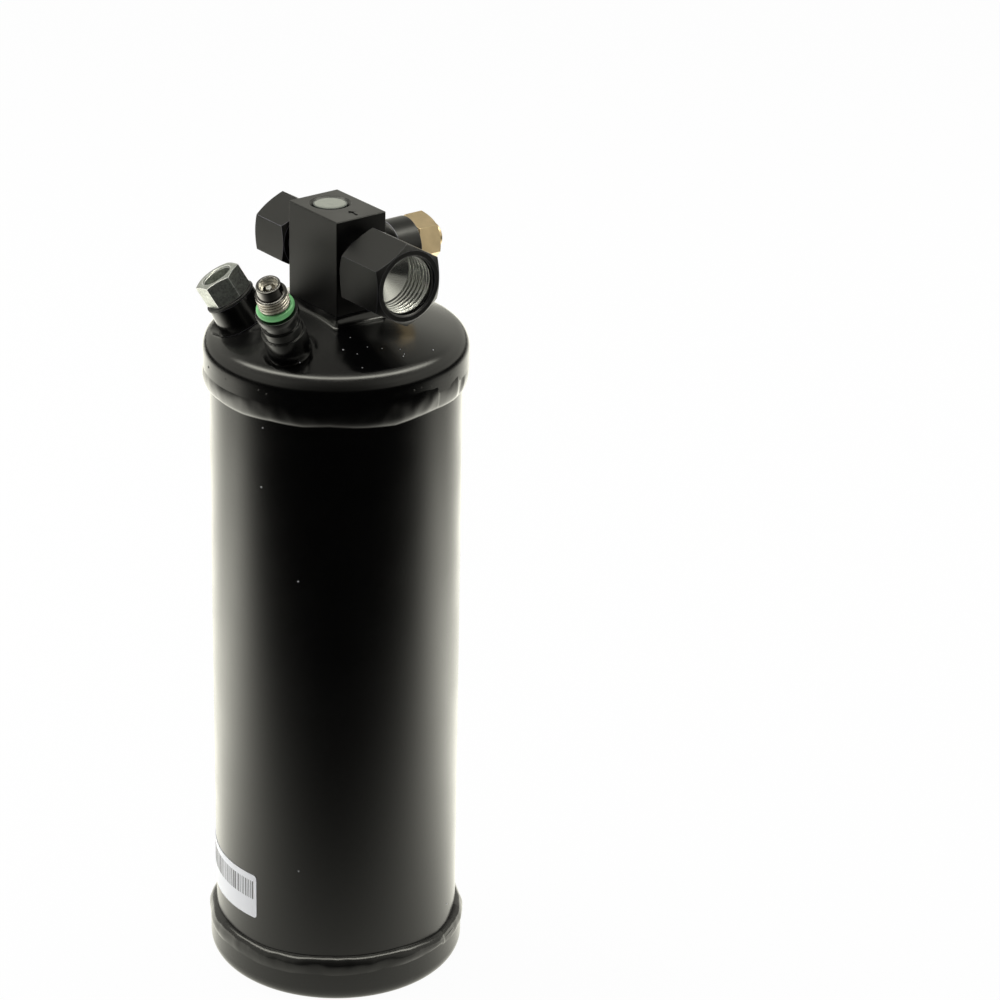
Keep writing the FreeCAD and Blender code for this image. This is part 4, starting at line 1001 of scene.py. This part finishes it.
def floor_reflection(tree, position):
    """The floor's brightness in gloss: bright behind the object, dark towards the camera."""
    bright = falling(tree, share_of(tree, position, TOWARD_CAMERA), *FLOOR_FRONT)
    bright = product(tree, bright, FLOOR_PEAK)
    for direction, reach in ((-CAMERA_RIGHT, FLOOR_LEFT), (CAMERA_RIGHT, FLOOR_RIGHT)):
        bright = product(tree, bright, falling(tree, share_of(tree, position, direction), *reach))
    behind = falling(tree, share_of(tree, position, -TOWARD_CAMERA), *FLOOR_BEHIND)
    kept = math_node(tree, "ADD", product(tree, behind, BEHIND_LOSS), 1 - BEHIND_LOSS)
    aside = math_node(tree, "DIVIDE", share_of(tree, position, CAMERA_RIGHT), LINE_REACH)
    in_line = math_node(tree, "EXPONENT", product(tree, aside, aside, -1.0))
    beside_line = math_node(tree, "SUBTRACT", 1.0, product(tree, in_line, LINE_LOSS))
    return product(tree, bright, kept, beside_line)


def studio_floor():
    """A white sweep that keeps the object's shadow."""
    bpy.ops.mesh.primitive_plane_add(size=FLOOR_SIDE, location=(0, 0, 0))
    floor = bpy.context.object
    floor.name = "studio_floor"
    material = bpy.data.materials.new("studio_floor")
    material.use_nodes = True
    tree = material.node_tree
    tree.nodes.clear()
    seen, glossy = ray_kinds(tree)
    position = add_node(tree, "ShaderNodeNewGeometry").outputs["Position"]
    paper = add_node(tree, "ShaderNodeBsdfDiffuse")
    paper.inputs["Color"].default_value = (*FLOOR_PAPER, 1)
    glow = add_node(tree, "ShaderNodeEmission")
    link(tree, mixed_colour(tree, glossy, WHITE, WARM), glow.inputs["Color"])
    reflected = product(tree, glossy, floor_reflection(tree, position))
    link(tree, math_node(tree, "MAXIMUM", seen, reflected), glow.inputs["Strength"])
    share = math_node(tree, "MAXIMUM", product(tree, seen, FLOOR_OWN_WHITE), glossy)
    blend = add_node(tree, "ShaderNodeMixShader")
    link(tree, share, blend.inputs["Fac"])
    link(tree, paper.outputs[0], blend.inputs[1])
    link(tree, glow.outputs[0], blend.inputs[2])
    output = add_node(tree, "ShaderNodeOutputMaterial")
    link(tree, blend.outputs[0], output.inputs["Surface"])
    dress(floor, material)


def studio_world():
    """White for the camera; in gloss a dim room, brighter low and behind, with a ring light."""
    world = bpy.data.worlds.new("studio")
    bpy.context.scene.world = world
    world.use_nodes = True
    tree = world.node_tree
    background = tree.nodes["Background"]
    seen, glossy = ray_kinds(tree)
    link(tree, mixed_colour(tree, glossy, WHITE, WARM), background.inputs["Color"])
    direction = add_node(tree, "ShaderNodeTexCoord").outputs["Generated"]
    forward = share_of(tree, direction, TOWARD_CAMERA)
    room = product(tree, curve(tree, share_of(tree, direction, UP), 0, 1, ROOM_BEHIND),
                   curve(tree, forward, -1, 1, ROOM_SIDE))
    ring = product(tree, curve(tree, share_of(tree, direction, RING_AXIS), 0, 1, RING_GLOW),
                   curve(tree, forward, -1, 1, RING_SIDE))
    reflected = product(tree, glossy, math_node(tree, "ADD", room, ring))
    plain = math_node(tree, "SUBTRACT", 1.0, math_node(tree, "MAXIMUM", seen, glossy))
    shown = math_node(tree, "MAXIMUM", seen, reflected)
    strength = math_node(tree, "ADD", shown, product(tree, plain, AMBIENT))
    link(tree, strength, background.inputs["Strength"])


SOFTBOX_SIDE = 0.9


def beside(right, forward, up):
    """A point that far to the camera's right, towards the camera, and above the floor."""
    return CAMERA_RIGHT * right + TOWARD_CAMERA * forward + UP * up


def softbox(name, at, aim_level, power):
    """A square soft light that gloss doesn't show, aimed at a level of the object's middle."""
    lamp = bpy.data.lights.new(name, "AREA")
    lamp.shape = "RECTANGLE"
    lamp.size = SOFTBOX_SIDE
    lamp.size_y = SOFTBOX_SIDE
    lamp.energy = power
    holder = bpy.data.objects.new(name, lamp)
    holder.location = at
    holder.rotation_euler = (UP * aim_level - at).to_track_quat("-Z", "Y").to_euler()
    holder.visible_glossy = False
    bpy.context.scene.collection.objects.link(holder)


def studio_camera():
    lens = bpy.data.cameras.new("photo_camera")
    lens.sensor_width = SENSOR
    lens.lens = SENSOR * FOCAL_PIXELS / PHOTO_SIZE
    lens.shift_x = 0.5 - CENTRE_PIXEL_X / PHOTO_SIZE
    holder = bpy.data.objects.new("photo_camera", lens)
    holder.location = TOWARD_CAMERA * CAMERA_REACH + UP * CAMERA_HEIGHT
    holder.rotation_euler = (math.pi / 2 - CAMERA_PITCH, 0, CAMERA_AZIMUTH)
    bpy.context.scene.collection.objects.link(holder)
    bpy.context.scene.camera = holder


studio_floor()
studio_world()
softbox("left_softbox", beside(-0.9, -0.35, 0.35), aim_level=0.12, power=8)
softbox("right_softbox", beside(0.9, -0.45, 0.35), aim_level=0.12, power=5)
softbox("top_softbox", beside(-0.2, -0.3, 1.1), aim_level=0.1, power=7)
studio_camera()

bpy.context.scene.view_settings.view_transform = "Standard"
